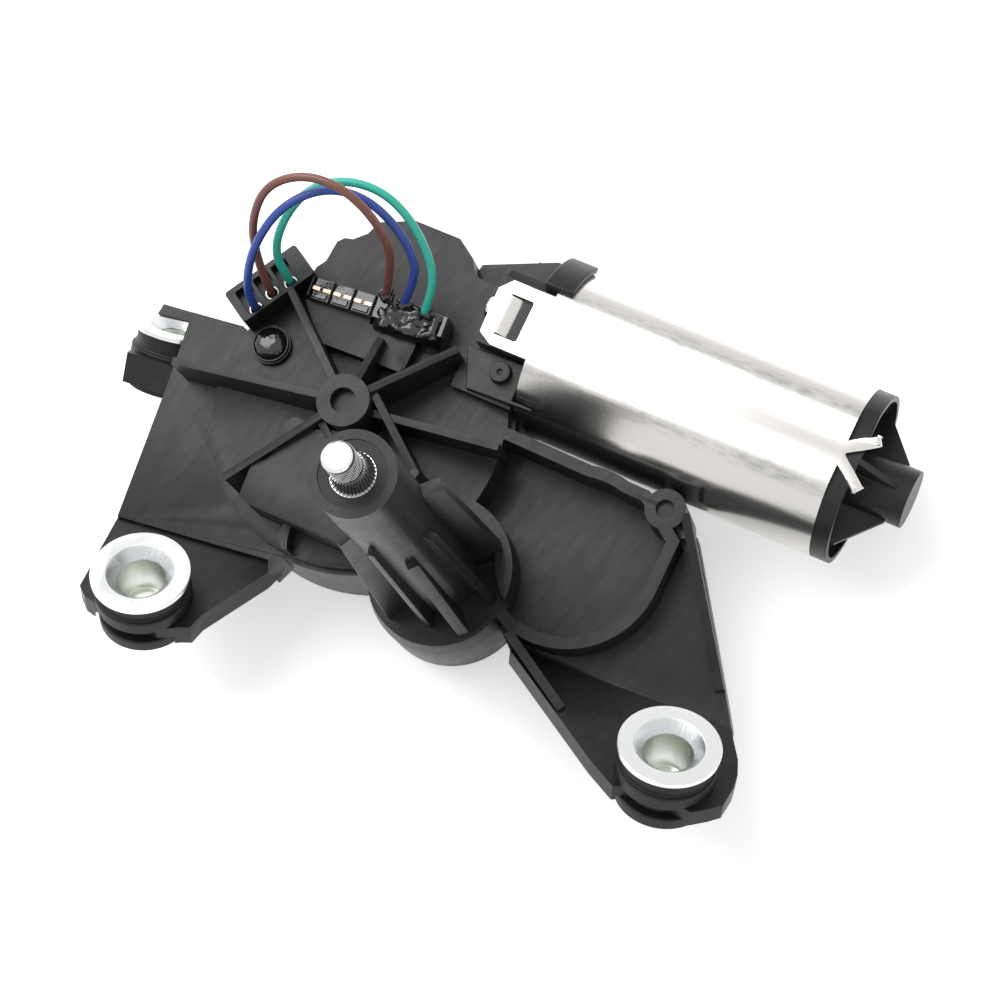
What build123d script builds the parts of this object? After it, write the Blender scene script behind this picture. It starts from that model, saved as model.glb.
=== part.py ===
import os
from math import acos, atan2, cos, degrees, hypot, pi, radians, sin, sqrt, tan

from build123d import *

os.makedirs("parts", exist_ok=True)

# Rear-window wiper motor, in millimetres.
# The origin lies on the output shaft's axis at the wiper-arm seat, where the thread starts.
# +Z runs up the shaft out of the tower, +X runs along the motor towards its end cap.

# Heights
arm_seat_height = 108.0
flange_z = -arm_seat_height
disc_rise = 6.0
disc_z = flange_z + disc_rise
pocket_depth = 13.0
floor_z = disc_z - pocket_depth
plate_drop = 3.0
plate_z = disc_z - plate_drop
housing_depth = 26.0
rim_z = disc_z - housing_depth
cover_thickness = 2.0
roof = 2.5
fit_gap = 0.05

# Gear train: worm on the armature, wheel on its own axle, crank and rod to the output lever
wheel_x = -36.8
wheel_y = 28.2
wheel_teeth = 54
gear_module = 1.26
worm_pitch_r = 5.0
wheel_pitch_r = gear_module * wheel_teeth / 2
worm_lead = pi * gear_module
tooth_height = 1.2
backlash = 0.35
wheel_width = 8.0
wheel_bore_r = 3.0 + fit_gap
axle_r = 3.0
crank_r = 7.6
crank_pin_r = 2.5
lever_length = 10.0
lever_pin_r = 2.5
lever_thickness = 3.0
rod_thickness = 3.0
shaft_r = 5.5

# Motor
motor_y = wheel_y + wheel_pitch_r + worm_pitch_r
motor_z = flange_z - 3.5
can_r = 23.5
can_flat = 21.2
can_wall = 1.5
can_start = 1.0
can_end = 86.0
arbor_r = 3.0

# Gearbox housing
drum_r = 41.8
disc_r = 40.4
cavity_r = 37.2
tower_base_r = 20.5
lever_cavity_r = 17.5
tower_r = 10.5
tower_height = 102.0
tower_bore_r = 7.8
mouth_r = 8.2
mouth_depth = 4.0
hub_r = 7.1
hub_height = 18.0
hub_recess_r = 3.4
hub_recess_depth = 3.0
axle_cover = 3.0
rib_width = 2.0
skirt = 2.5
pocket_wall = 3.2

# Rubber mounts
washer_r = 13.15
washer_thickness = 1.5
funnel_r = 8.95
sleeve_inner_r = 6.2
sleeve_wall = 1.2
sleeve_height = 18.5
bolt_hole_r = 4.4
bolt_land = 4.0
grommet_r = 12.4
rim_r = 12.7
groove_r = 9.5
upper_flange = 9.0
ear_thickness = 3.8
ear_clearance = 0.6

wheel_axis_z = motor_z
wheel_bottom = wheel_axis_z - wheel_width / 2
wheel_top = wheel_axis_z + wheel_width / 2
lever_top = wheel_bottom - 1.0
lever_bottom = lever_top - lever_thickness
rod_top = lever_bottom - 0.5
rod_bottom = rod_top - rod_thickness
axle_top = disc_z + hub_height - hub_recess_depth - axle_cover
shaft_top = 9.2
centre_distance = hypot(wheel_x, wheel_y)
wheel_azimuth = degrees(atan2(wheel_y, wheel_x))
tie_azimuth = wheel_azimuth + 180
lever_azimuth = wheel_azimuth + 90
lever_x = lever_length * cos(radians(lever_azimuth))
lever_y = lever_length * sin(radians(lever_azimuth))
# The crank stands square to the rod at rest, with the lever in the middle of its sweep.
pin_span = hypot(centre_distance, lever_length)
rod_length = sqrt(pin_span**2 - crank_r**2)
crank_azimuth = degrees(atan2(lever_y - wheel_y, lever_x - wheel_x)) + degrees(acos(crank_r / pin_span))
crank_x = wheel_x + crank_r * cos(radians(crank_azimuth))
crank_y = wheel_y + crank_r * sin(radians(crank_azimuth))


def finish(piece, name):
    piece.part.label = name
    export_step(piece.part, "parts/" + name + ".step")


def level(z):
    return Plane.XY.offset(z)


def across(x):
    # A plane square to the motor's axis: its x runs along +Y, its y up, its normal along +X.
    return Plane(origin=(x, motor_y, motor_z), x_dir=(0, 1, 0), z_dir=(1, 0, 0))


def can_section(radius, flat):
    Circle(radius)
    Rectangle(2 * radius + 2, 2 * flat, mode=Mode.INTERSECT)


def sector(radius_in, radius_out, start, end):
    # A slice of a ring round the motor's axis, from one azimuth to another, in degrees from +Y.
    reach = radius_out * 2
    Circle(radius_out)
    Circle(radius_in, mode=Mode.SUBTRACT)
    middle = radians((start + end) / 2)
    points = [(0, 0)]
    for azimuth in (radians(start), middle, radians(end)):
        points.append((reach * cos(azimuth), reach * sin(azimuth)))
    Polygon(*points, align=None, mode=Mode.INTERSECT)


def mount_plane(x, y, z, tilt, lean):
    # The washer's top face of one rubber mount: its axis tilts towards +Y and leans along X.
    t = radians(tilt)
    a = radians(lean)
    normal = Vector(sin(a), cos(a) * sin(t), cos(a) * cos(t))
    side = Vector(cos(a), -sin(a) * sin(t), -sin(a) * cos(t))
    return Plane(origin=(x, y, z), x_dir=side, z_dir=normal)


left_seat = (-66.6, -33.6, 21.2)
right_seat = (77.3, -17.9, 17.2)
upper_seat = (-100.3, 35.4, -10.0)
left_mount = mount_plane(left_seat[0], left_seat[1], flange_z + left_seat[2], 27.4, -2.8)
right_mount = mount_plane(right_seat[0], right_seat[1], flange_z + right_seat[2], 35.2, -2.3)
upper_mount = mount_plane(upper_seat[0], upper_seat[1], flange_z + upper_seat[2], 60.0, -5.0)
seat_depth = washer_thickness + upper_flange
hole_depth = seat_depth + ear_thickness

# Gear housing: one moulding with the disc, the hub and its ribs, the tower, the pocket and three ears
left_plate = [(-78.8, 39.7), (-93.9, 37.8), (-91.0, 17.9), (-86.6, -21.3), (-43.0, -15.4), (-41.3, -18.6),
              (-38.6, -11.5), (-45.0, 28.0)]
left_plate_depth = 12.0
left_plate_top = 3.5
left_plate_notch = (-92.0, 26.0, 20.0, 26.0)
left_ear = [(-20.9, 21.0), (-17.0, -4.6), (-14.0, -7.0), (-9.2, -8.0), (8.5, -8.0), (13.5, -4.5), (16.0, -3.3),
            (16.5, 1.5), (24.5, 21.5), (25.5, 27.0)]
left_ear_depth = 6.5
pocket_x = 31.0
pocket_y = 17.2
pocket_r = 24.6
pocket_corners = [(-0.4, 41.8), (43.0, 41.0), (55.6, 32.0), (55.6, 17.2), (20.0, 10.0), (-10.0, 20.0)]
lug_x = 48.6
lug_y = 38.2
lug_r = 5.4
lug_hole_r = 2.5
lug_hole_depth = 2.0
right_plate_z = flange_z - 4.0
right_plate = [(20.0, -6.0), (25.2, -10.4), (28.0, -12.0), (86.8, -7.4), (86.2, -5.4), (80.7, 2.8), (57.5, 36.3),
               (44.0, 30.0), (30.0, 10.0)]
right_plate_depth = 8.0
right_ear = [(-52.5, 18.1), (-18.1, -5.8), (-9.5, -10.8), (-7.0, -9.2), (6.0, -8.6), (11.0, -8.6), (14.5, -5.2),
             (16.9, -2.4), (17.0, 4.1), (16.2, 8.5), (14.3, 13.2), (10.3, 19.4), (8.6, 22.4), (4.5, 27.0),
             (-50.0, 23.0)]
right_ear_depth = 5.0
upper_ear = [(-7.5, -15.2), (-8.5, -10.0), (-8.5, 9.0), (-5.0, 13.0), (11.0, 13.5), (17.0, 2.0), (17.0, -15.2)]
upper_ear_rise = 3.5
upper_ear_depth = 8.5
upper_arm = [(-102.4, 36.8), (-88.0, 38.4), (-88.0, 36.2), (-102.7, 33.7)]
upper_arm_depth = 2.5
upper_web = [(-99.5, plate_z - 1.0), (-90.0, plate_z - 1.0), (-90.0, plate_z - 5.0), (-93.5, plate_z - 5.0)]
upper_web_y = 36.3
lobe = [(-67.5, 54.0), (-66.4, 62.0), (-64.8, 64.5), (-64.4, 70.6), (-62.9, 72.3), (-60.6, 72.9), (-57.6, 75.8),
        (-55.9, 80.0), (-46.9, 84.1), (-33.4, 84.1), (-28.0, 80.6), (-25.4, 76.8), (-23.4, 76.0), (0.0, 76.0),
        (0.0, 50.0), (-30.0, 45.0)]
lobe_top = disc_z
lobe_lift = 2.0
lobe_bottom = rim_z + lobe_lift
rear_shelf = [(-30.0, 72.0), (-28.0, 82.5), (-9.0, 91.0), (-1.0, 91.0), (-1.0, 72.0)]
rear_shelf_top = flange_z - 5.0
adapter_start = -14.0
spigot_gap = 0.1
spigot_length = 3.0
adapter_r = can_r - can_wall - spigot_gap
adapter_flat = can_flat - can_wall - spigot_gap
spigot_end = can_start + spigot_length
tunnel_r = 7.2
tunnel_start = -54.0
cap_gap = 0.1
saddle_start = -3.0
saddle_end = 5.0
saddle_wall = 2.0
saddle_angles = (-38.0, 64.0)
ledge_half = 12.2
plateau = [(-52.3, -4.8), (-53.1, 4.6), (-50.4, 6.2), (-48.6, 9.8), (-49.9, 14.0), (-49.9, 17.6), (-48.6, 19.6),
           (-46.3, 20.0), (-42.0, 18.9), (-33.0, 22.0), (-8.0, 6.0), (-8.0, -6.0), (-49.2, -6.0)]
plateau_z = disc_z + 13.5
hook = [(-40.6, -5.5), (-40.4, -9.2), (-38.2, -12.2), (-36.5, -12.0), (-37.6, -9.6), (-38.4, -5.5)]
hook_height = 6.0
# The tray in front of the terminal strip, in the strip's own directions
tray = [(-20.9, -3.1), (-12.9, -13.2), (10.5, -14.5), (11.9, -12.9), (12.5, -6.5), (12.0, -4.4), (-1.7, -4.4),
        (-1.7, -3.1)]
tray_height = 4.5
strip_x = -43.0
strip_y = 56.75
strip_turn = 5.5
strip_plane = Plane(origin=(strip_x, strip_y, 0), x_dir=(cos(radians(strip_turn)), sin(radians(strip_turn)), 0),
                    z_dir=(0, 0, 1))
clamp_base = [(-16.7, 45.5), (0.6, 45.5), (0.6, 57.5), (-16.7, 57.5)]
clamp_base_z = flange_z + 10.0
clamp_top_y = 57.9
clamp_step = 16.0
screw_x = -67.5
screw_y = 37.2
screw_boss_r = 5.4
screw_boss_height = 1.6
screw_hole_r = 2.0
can_screw_y = 68.4
can_screw_z = flange_z + 12.5
can_screw_hole_r = 1.25
can_screw_depth = 8.0
cover_screw_depth = 8.0
cover_screw_angles = (150.0, 205.0, 262.0, 62.0)
cover_screw_ring = (cavity_r + drum_r) / 2
cover_screw_r = 1.25

# Each rib: azimuth from the hub, length, top above the disc at the hub, at its end, foot below the disc
ribs = [(188.2, 50.3, 17.2, 12.0, 4.5), (234.8, 37.2, 16.8, 13.9, 1.0), (141.8, 37.7, 16.0, 11.0, 1.0),
        (94.5, 21.0, 14.0, 8.0, 1.0), (52.0, 32.2, 16.2, 11.5, 1.0), (8.2, 41.5, 12.0, 11.0, 1.0)]
# Two webs tie the hub to the tower: sideways place, length at the top, length at the foot
ties = [(7.7, 31.0, 33.0), (-7.9, 40.0, 40.0)]
tie_start = -1.0
tie_height = 14.5
# Each gusset of the right ear: start, end, fall of its top
gussets = [(53.7, 39.2, 79.8, 1.9, 8.0), (24.9, -7.4, 46.0, -19.6, 0.9)]
gusset_width = 2.4
# Each tower fin: azimuth, top above the flange, radius at its top, radius at its foot, width
fins = [(243.0, 71.5, 13.4, 17.6, 3.2), (286.0, 73.0, 12.4, 14.6, 1.6), (318.0, 56.0, 12.4, 18.2, 2.8),
        (357.0, 64.0, 13.2, 17.0, 2.2), (43.0, 73.0, 15.6, 18.7, 3.2), (80.0, 66.0, 12.6, 17.0, 2.0),
        (205.0, 60.0, 12.6, 17.0, 2.4)]


def upright(azimuth, x, y):
    # A vertical plane through a point: its x runs outwards at the azimuth, its y up.
    t = radians(azimuth)
    return Plane(origin=(x, y, 0), x_dir=(cos(t), sin(t), 0), z_dir=(sin(t), -cos(t), 0))


with BuildPart() as gear_housing:
    with BuildSketch(level(rim_z)):
        with Locations((wheel_x, wheel_y)):
            Circle(drum_r)
    extrude(amount=plate_z - rim_z)
    with BuildSketch(level(plate_z)):
        with Locations((wheel_x, wheel_y)):
            Circle(disc_r)
    extrude(amount=plate_drop)
    with BuildSketch(level(rim_z)):
        Polygon(*pocket_corners, align=None)
        with Locations((pocket_x, pocket_y)):
            Circle(pocket_r)
        with Locations((lug_x, lug_y)):
            Circle(lug_r)
    extrude(amount=housing_depth)
    # Level web between the pocket's wall and the right ear
    with BuildSketch(level(right_plate_z)):
        Polygon(*right_plate, align=None)
    extrude(amount=-right_plate_depth)
    # The pocket is recessed between its wall, the lug and the drum.
    with BuildSketch(level(disc_z)):
        Polygon(*pocket_corners, align=None)
        with Locations((pocket_x, pocket_y)):
            Circle(pocket_r)
        offset(amount=-pocket_wall)
        with Locations((lug_x, lug_y)):
            Circle(lug_r, mode=Mode.SUBTRACT)
        with Locations((wheel_x, wheel_y)):
            Circle(cavity_r + roof, mode=Mode.SUBTRACT)
        with Locations((0, 0)):
            Circle(tower_base_r, mode=Mode.SUBTRACT)
    extrude(amount=-pocket_depth, mode=Mode.SUBTRACT)
    # The tower's foot stands lower than the disc, so the disc is cut back round it.
    with BuildSketch(level(flange_z)):
        with Locations((6.0, -6.0)):
            Circle(tower_base_r)
        with Locations((wheel_x, wheel_y)):
            Circle(cavity_r + roof, mode=Mode.SUBTRACT)
        with Locations((pocket_x + 2, pocket_y)):
            Circle(pocket_r - pocket_wall, mode=Mode.SUBTRACT)
    extrude(amount=disc_rise, mode=Mode.SUBTRACT)
    with BuildSketch(level(rim_z)):
        Circle(tower_base_r)
    extrude(amount=floor_z - rim_z)
    with BuildSketch(level(floor_z)):
        Circle(tower_base_r)
    extrude(amount=flange_z - floor_z, taper=9)
    # Left plate with its skirt, and the ear that bends up from it
    with BuildSketch(level(plate_z)):
        Polygon(*left_plate, align=None)
    extrude(amount=-left_plate_depth)
    with BuildSketch(left_mount.offset(-seat_depth)):
        Polygon(*left_ear, align=None)
    extrude(amount=-left_ear_depth)
    # Tilted plate of the right mount
    with BuildSketch(right_mount.offset(-seat_depth)):
        Polygon(*right_ear, align=None)
    extrude(amount=-right_ear_depth)
    with BuildSketch(upper_mount.offset(upper_ear_rise - seat_depth)):
        Polygon(*upper_ear, align=None)
    extrude(amount=-upper_ear_depth)
    with BuildSketch(level(plate_z)):
        Polygon(*upper_arm, align=None)
    extrude(amount=-upper_arm_depth)
    with BuildSketch(Plane(origin=(0, upper_web_y, 0), x_dir=(1, 0, 0), z_dir=(0, -1, 0))):
        Polygon(*upper_web, align=None)
    extrude(amount=1.0, both=True)
    # Lobe over the worm, the shelf behind it and the seat of the motor
    with BuildSketch(level(lobe_bottom)):
        Polygon(*lobe, align=None)
    extrude(amount=lobe_top - lobe_bottom)
    with BuildSketch(level(lobe_bottom)):
        Polygon(*rear_shelf, align=None)
    extrude(amount=rear_shelf_top - lobe_bottom)
    # Room for the can beside the drum, then the round adapter that the can slips over
    with BuildSketch(across(can_start - 0.1)):
        Circle(can_r + 0.1)
    extrude(amount=drum_r, mode=Mode.SUBTRACT)
    with BuildSketch(across(adapter_start)):
        can_section(adapter_r, adapter_flat)
    extrude(amount=spigot_end - adapter_start)
    # Outside the can the adapter ends level with the rim, so the cover can pass under it.
    with BuildSketch(level(rim_z)):
        with Locations((can_start - 0.4, motor_y)):
            Rectangle(can_r, 2 * can_r, align=(Align.MAX, Align.CENTER))
    extrude(amount=-can_r, mode=Mode.SUBTRACT)
    with BuildSketch(level(lobe_bottom)):
        Polygon(*clamp_base, align=None)
    extrude(amount=clamp_base_z - lobe_bottom)
    # The clamp plate lies on a step cut beside the can's tongue.
    with BuildSketch(level(clamp_base_z)):
        with Locations((clamp_base[0][0], clamp_top_y)):
            Rectangle(clamp_base[1][0] - clamp_base[0][0] + spigot_end, clamp_step, align=(Align.MIN, Align.MAX))
    extrude(amount=can_r, mode=Mode.SUBTRACT)
    # Beside the tongue only a narrow ledge of the adapter shows.
    with BuildSketch(level(rear_shelf_top)):
        with Locations((saddle_start - cap_gap, motor_y + ledge_half)):
            Rectangle(can_r, can_r, align=(Align.MAX, Align.MIN))
    extrude(amount=2 * can_r, mode=Mode.SUBTRACT)
    with BuildSketch(level(disc_z)):
        Polygon(*plateau, align=None)
    extrude(amount=plateau_z - disc_z)
    with BuildSketch(level(disc_z - roof)):
        Polygon(*hook, align=None)
    extrude(amount=roof + hook_height)
    with BuildSketch(strip_plane.offset(disc_z - 1)):
        Polygon(*tray, align=None)
    extrude(amount=tray_height + 1)
    with BuildSketch(level(disc_z)):
        with Locations((wheel_x, wheel_y)):
            Circle(hub_r)
    extrude(amount=hub_height)
    with BuildSketch(level(disc_z)):
        with Locations((screw_x, screw_y)):
            Circle(screw_boss_r)
    extrude(amount=screw_boss_height)
    for azimuth, length, near, far, foot in ribs:
        with BuildSketch(upright(azimuth, wheel_x, wheel_y)):
            Polygon((hub_r - 1, disc_z - foot), (length, disc_z - foot), (length, disc_z + far),
                    (hub_r - 1, disc_z + near), align=None)
        extrude(amount=rib_width / 2, both=True)
    for side, top_end, foot_end in ties:
        t = radians(tie_azimuth)
        with BuildSketch(upright(tie_azimuth, wheel_x - side * sin(t), wheel_y + side * cos(t))):
            Polygon((tie_start, disc_z - 1), (foot_end, disc_z - 1), (top_end, disc_z + tie_height),
                    (tie_start, disc_z + tie_height), align=None)
        extrude(amount=rib_width / 2, both=True)
    for x0, y0, x1, y1, drop in gussets:
        run = hypot(x1 - x0, y1 - y0)
        with BuildSketch(upright(degrees(atan2(y1 - y0, x1 - x0)), x0, y0)):
            Polygon((0, right_plate_z - 2), (run, right_plate_z - 2), (run, disc_z - drop), (0, disc_z), align=None)
        extrude(amount=gusset_width / 2, both=True)
    # Tower and its fins
    with BuildSketch(level(flange_z - roof)):
        Circle(tower_r)
    extrude(amount=tower_height + roof)
    for azimuth, top, r_top, r_foot, width in fins:
        with BuildSketch(upright(azimuth, 0, 0)):
            Polygon((tower_r - 1, flange_z - 1), (r_foot, flange_z - 1), (r_foot, flange_z), (r_top, flange_z + top),
                    (tower_r - 1, flange_z + top), align=None)
        extrude(amount=width / 2, both=True)
    # Hollows under the roof: wheel, lever and pocket, and the ears' undersides
    with BuildSketch(level(rim_z)):
        with Locations((wheel_x, wheel_y)):
            Circle(cavity_r)
    extrude(amount=housing_depth - roof, mode=Mode.SUBTRACT)
    with BuildSketch(level(rim_z)):
        Circle(lever_cavity_r)
    extrude(amount=flange_z - roof - rim_z, mode=Mode.SUBTRACT)
    with BuildSketch(level(rim_z)):
        with Locations((pocket_x, pocket_y)):
            Circle(pocket_r - pocket_wall)
        Circle(lever_cavity_r + roof, mode=Mode.SUBTRACT)
        with Locations((wheel_x, wheel_y)):
            Circle(cavity_r + roof, mode=Mode.SUBTRACT)
    extrude(amount=floor_z - roof - rim_z, mode=Mode.SUBTRACT)
    # Worm tunnel, bored from the motor's side
    with BuildSketch(across(tunnel_start)):
        Circle(tunnel_r)
    extrude(amount=spigot_end - tunnel_start, mode=Mode.SUBTRACT)
    # The left plate is a shell with a skirt outside the drum.
    with BuildSketch(level(plate_z - left_plate_top)):
        Polygon(*left_plate, align=None)
        with Locations((wheel_x, wheel_y)):
            Circle(drum_r, mode=Mode.SUBTRACT)
        with Locations((left_plate_notch[0], left_plate_notch[1])):
            Rectangle(left_plate_notch[2], left_plate_notch[3], mode=Mode.SUBTRACT)
        offset(amount=-skirt)
    extrude(amount=-left_plate_depth, mode=Mode.SUBTRACT)
    # Bores: axle, tower, lug and the three mounts
    with BuildSketch(level(wheel_axis_z)):
        with Locations((wheel_x, wheel_y)):
            Circle(axle_r)
    extrude(amount=axle_top - wheel_axis_z, mode=Mode.SUBTRACT)
    with BuildSketch(level(disc_z + hub_height)):
        with Locations((wheel_x, wheel_y)):
            Circle(hub_recess_r)
    extrude(amount=-hub_recess_depth, mode=Mode.SUBTRACT)
    with BuildSketch(level(flange_z - roof - 1)):
        Circle(tower_bore_r)
    extrude(amount=tower_height + roof + 1, mode=Mode.SUBTRACT)
    with BuildSketch(level(flange_z + tower_height)):
        Circle(mouth_r)
    extrude(amount=-mouth_depth, mode=Mode.SUBTRACT)
    with BuildSketch(level(disc_z)):
        with Locations((lug_x, lug_y)):
            Circle(lug_hole_r)
    extrude(amount=-lug_hole_depth, mode=Mode.SUBTRACT)
    with BuildSketch(level(rim_z)):
        with Locations((wheel_x, wheel_y)):
            for angle in cover_screw_angles:
                with PolarLocations(cover_screw_ring, 1, start_angle=angle):
                    Circle(cover_screw_r)
    extrude(amount=cover_screw_depth, mode=Mode.SUBTRACT)
    with BuildSketch(level(disc_z + screw_boss_height)):
        with Locations((screw_x, screw_y)):
            Circle(screw_hole_r)
    extrude(amount=-roof - screw_boss_height, mode=Mode.SUBTRACT)
    with BuildSketch(across(adapter_start)):
        with Locations((can_screw_y - motor_y, can_screw_z - motor_z)):
            Circle(can_screw_hole_r)
    extrude(amount=can_screw_depth, mode=Mode.SUBTRACT)
    for seat in (left_mount, right_mount, upper_mount):
        with BuildSketch(seat.offset(-seat_depth)):
            Circle(groove_r)
        extrude(amount=-hole_depth, mode=Mode.SUBTRACT)
        # The ear leaves room for the rubber on both sides of the web that carries it.
        with BuildSketch(seat.offset(-hole_depth)):
            Circle(rim_r + ear_clearance)
        extrude(amount=-sleeve_height, mode=Mode.SUBTRACT)
        with BuildSketch(seat.offset(-seat_depth)):
            Circle(washer_r + ear_clearance)
        extrude(amount=seat_depth + ear_clearance, mode=Mode.SUBTRACT)
finish(gear_housing, "gear_housing")

# Shaft, lever and rod
knurl_r = 4.2
thread_r = 4.0
tip_chamfer = 0.85
cone_height = 6.5
clip_z = -mouth_depth - (arm_seat_height - tower_height)
clip_thickness = 1.0
clip_groove_depth = 0.5
bush_gap = 0.03
bush_length = 22.0
thrust_flange_r = 9.5
thrust_flange = 1.2
lever_hub_r = 8.5
lever_eye_r = 5.0
rod_eye_r = 5.5
rod_width = 7.0

with BuildPart() as output_shaft:
    with BuildSketch(level(lever_bottom)):
        Circle(shaft_r)
    extrude(amount=-cone_height - lever_bottom)
    with BuildSketch(level(-cone_height)):
        Circle(shaft_r)
    with BuildSketch(level(0)):
        Circle(knurl_r)
    loft()
    with BuildSketch(level(0)):
        Circle(thread_r)
    extrude(amount=shaft_top)
    chamfer(output_shaft.edges().group_by(Axis.Z)[-1], tip_chamfer)
    with BuildSketch(level(clip_z)):
        Circle(shaft_r + 1)
        Circle(shaft_r - clip_groove_depth, mode=Mode.SUBTRACT)
    extrude(amount=clip_thickness + 2 * fit_gap, mode=Mode.SUBTRACT)
finish(output_shaft, "output_shaft")

with BuildPart() as shaft_circlip:
    with BuildSketch(level(clip_z + fit_gap)):
        Circle(tower_bore_r - 0.6)
        Circle(shaft_r - clip_groove_depth + fit_gap, mode=Mode.SUBTRACT)
        with Locations((shaft_r + 1, 0)):
            Rectangle(6, 3, mode=Mode.SUBTRACT)
    extrude(amount=clip_thickness)
finish(shaft_circlip, "shaft_circlip")

with BuildPart() as shaft_seal:
    with BuildSketch(level(clip_z + clip_thickness + 0.6)):
        Circle(mouth_r - fit_gap)
        Circle(shaft_r + fit_gap, mode=Mode.SUBTRACT)
    extrude(amount=mouth_depth - clip_thickness - 0.9)
finish(shaft_seal, "shaft_seal")

with BuildPart() as tower_bush_upper:
    with BuildSketch(level(clip_z)):
        Circle(tower_bore_r - fit_gap)
        Circle(shaft_r + bush_gap, mode=Mode.SUBTRACT)
    extrude(amount=-bush_length)
finish(tower_bush_upper, "tower_bush_upper")

with BuildPart() as tower_bush_lower:
    with BuildSketch(level(flange_z - roof - fit_gap - thrust_flange)):
        Circle(tower_bore_r - fit_gap)
    extrude(amount=bush_length + thrust_flange)
    with BuildSketch(level(flange_z - roof - fit_gap)):
        Circle(thrust_flange_r)
    extrude(amount=-thrust_flange)
    with BuildSketch(level(flange_z - roof - fit_gap - thrust_flange)):
        Circle(shaft_r + bush_gap)
    extrude(amount=bush_length + thrust_flange + 1, mode=Mode.SUBTRACT)
finish(tower_bush_lower, "tower_bush_lower")

lever_hub_top = flange_z - roof - fit_gap - thrust_flange - 0.1

with BuildPart() as output_lever:
    with BuildSketch(level(lever_bottom)):
        with Locations((0, 0)):
            Circle(lever_hub_r)
        with Locations((lever_x, lever_y)):
            Circle(lever_eye_r)
        make_hull()
    extrude(amount=lever_thickness)
    with BuildSketch(level(lever_top)):
        Circle(lever_hub_r)
    extrude(amount=lever_hub_top - lever_top)
    with BuildSketch(level(lever_bottom)):
        Circle(shaft_r + fit_gap / 2)
    extrude(amount=lever_hub_top - lever_bottom, mode=Mode.SUBTRACT)
    with BuildSketch(level(lever_bottom)):
        with Locations((lever_x, lever_y)):
            Circle(lever_pin_r + fit_gap / 2)
    extrude(amount=lever_thickness, mode=Mode.SUBTRACT)
finish(output_lever, "output_lever")

pin_head_gap = 0.1
pin_head_r = 3.6
pin_head_height = 1.2

with BuildPart() as lever_pin:
    with BuildSketch(level(rod_bottom - pin_head_gap)):
        with Locations((lever_x, lever_y)):
            Circle(lever_pin_r)
    extrude(amount=lever_top - rod_bottom + pin_head_gap)
    with BuildSketch(level(rod_bottom - pin_head_gap)):
        with Locations((lever_x, lever_y)):
            Circle(pin_head_r)
    extrude(amount=-pin_head_height)
finish(lever_pin, "lever_pin")

with BuildPart() as link_rod:
    with BuildSketch(level(rod_bottom)):
        with Locations((lever_x, lever_y)):
            Circle(lever_eye_r)
        with Locations((crank_x, crank_y)):
            Circle(rod_eye_r)
        with Locations(((lever_x + crank_x) / 2, (lever_y + crank_y) / 2)):
            Rectangle(rod_length, rod_width, rotation=degrees(atan2(crank_y - lever_y, crank_x - lever_x)))
        with Locations((lever_x, lever_y)):
            Circle(lever_pin_r + fit_gap, mode=Mode.SUBTRACT)
        with Locations((crank_x, crank_y)):
            Circle(crank_pin_r + fit_gap, mode=Mode.SUBTRACT)
    extrude(amount=rod_thickness)
finish(link_rod, "link_rod")

# Worm wheel with its contact disc, axle and crank pin
pressure_angle = 18.0
root_gap = 0.3
wheel_root_r = wheel_pitch_r - tooth_height - root_gap
tooth_half = (worm_lead - backlash) / 4
tooth_foot = wheel_pitch_r - wheel_root_r + 0.5
foot_half = tooth_half + tan(radians(pressure_angle)) * tooth_foot
tooth_slope = worm_lead / (2 * pi * worm_pitch_r)
wheel_hub_r = 13.0
wheel_web = 4.5
disc_inner_r = 14.0
disc_outer_r = 27.0
disc_thickness = 0.8
axle_head_r = 4.5
axle_head_height = 1.2
crank_pin_depth = 5.0
opened_gap = 0.5

with BuildPart() as worm_wheel:
    with BuildSketch(level(wheel_bottom)):
        with Locations((wheel_x, wheel_y)):
            Circle(wheel_root_r)
    extrude(amount=wheel_width)
    tooth_planes = []
    for tooth in range(wheel_teeth):
        azimuth = radians(90 + (tooth + 0.5) * 360 / wheel_teeth)
        out_x, out_y = cos(azimuth), sin(azimuth)
        reach = wheel_pitch_r - tooth_foot
        tooth_planes.append(Plane(origin=(wheel_x + reach * out_x, wheel_y + reach * out_y, wheel_axis_z),
                                  x_dir=(-out_y, out_x, 0), z_dir=(out_x, out_y, 0)))
    with BuildSketch(*tooth_planes):
        half = wheel_width / 2
        lean = tooth_slope * half
        Polygon((-foot_half - lean, -half), (foot_half - lean, -half), (foot_half + lean, half),
                (-foot_half + lean, half), align=None)
    extrude(amount=tooth_foot + tooth_height, taper=pressure_angle)
    with BuildSketch(level(wheel_bottom)):
        with Locations((wheel_x, wheel_y)):
            Circle(wheel_root_r - 3)
            Circle(wheel_hub_r, mode=Mode.SUBTRACT)
    extrude(amount=wheel_width - wheel_web, mode=Mode.SUBTRACT)
    with BuildSketch(level(wheel_bottom)):
        with Locations((wheel_x, wheel_y)):
            Circle(wheel_bore_r)
    extrude(amount=wheel_width, mode=Mode.SUBTRACT)
    with BuildSketch(level(wheel_bottom)):
        with Locations((crank_x, crank_y)):
            Circle(crank_pin_r + fit_gap / 2)
    extrude(amount=crank_pin_depth, mode=Mode.SUBTRACT)
finish(worm_wheel, "worm_wheel")

with BuildPart() as contact_disc:
    with BuildSketch(level(wheel_top)):
        with Locations((wheel_x, wheel_y)):
            Circle(disc_outer_r)
            Circle(disc_inner_r, mode=Mode.SUBTRACT)
            with PolarLocations((disc_outer_r + disc_inner_r) / 2 + 3, 1, start_angle=90):
                Rectangle(8, 7, mode=Mode.SUBTRACT)
    extrude(amount=disc_thickness)
finish(contact_disc, "contact_disc")

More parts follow.
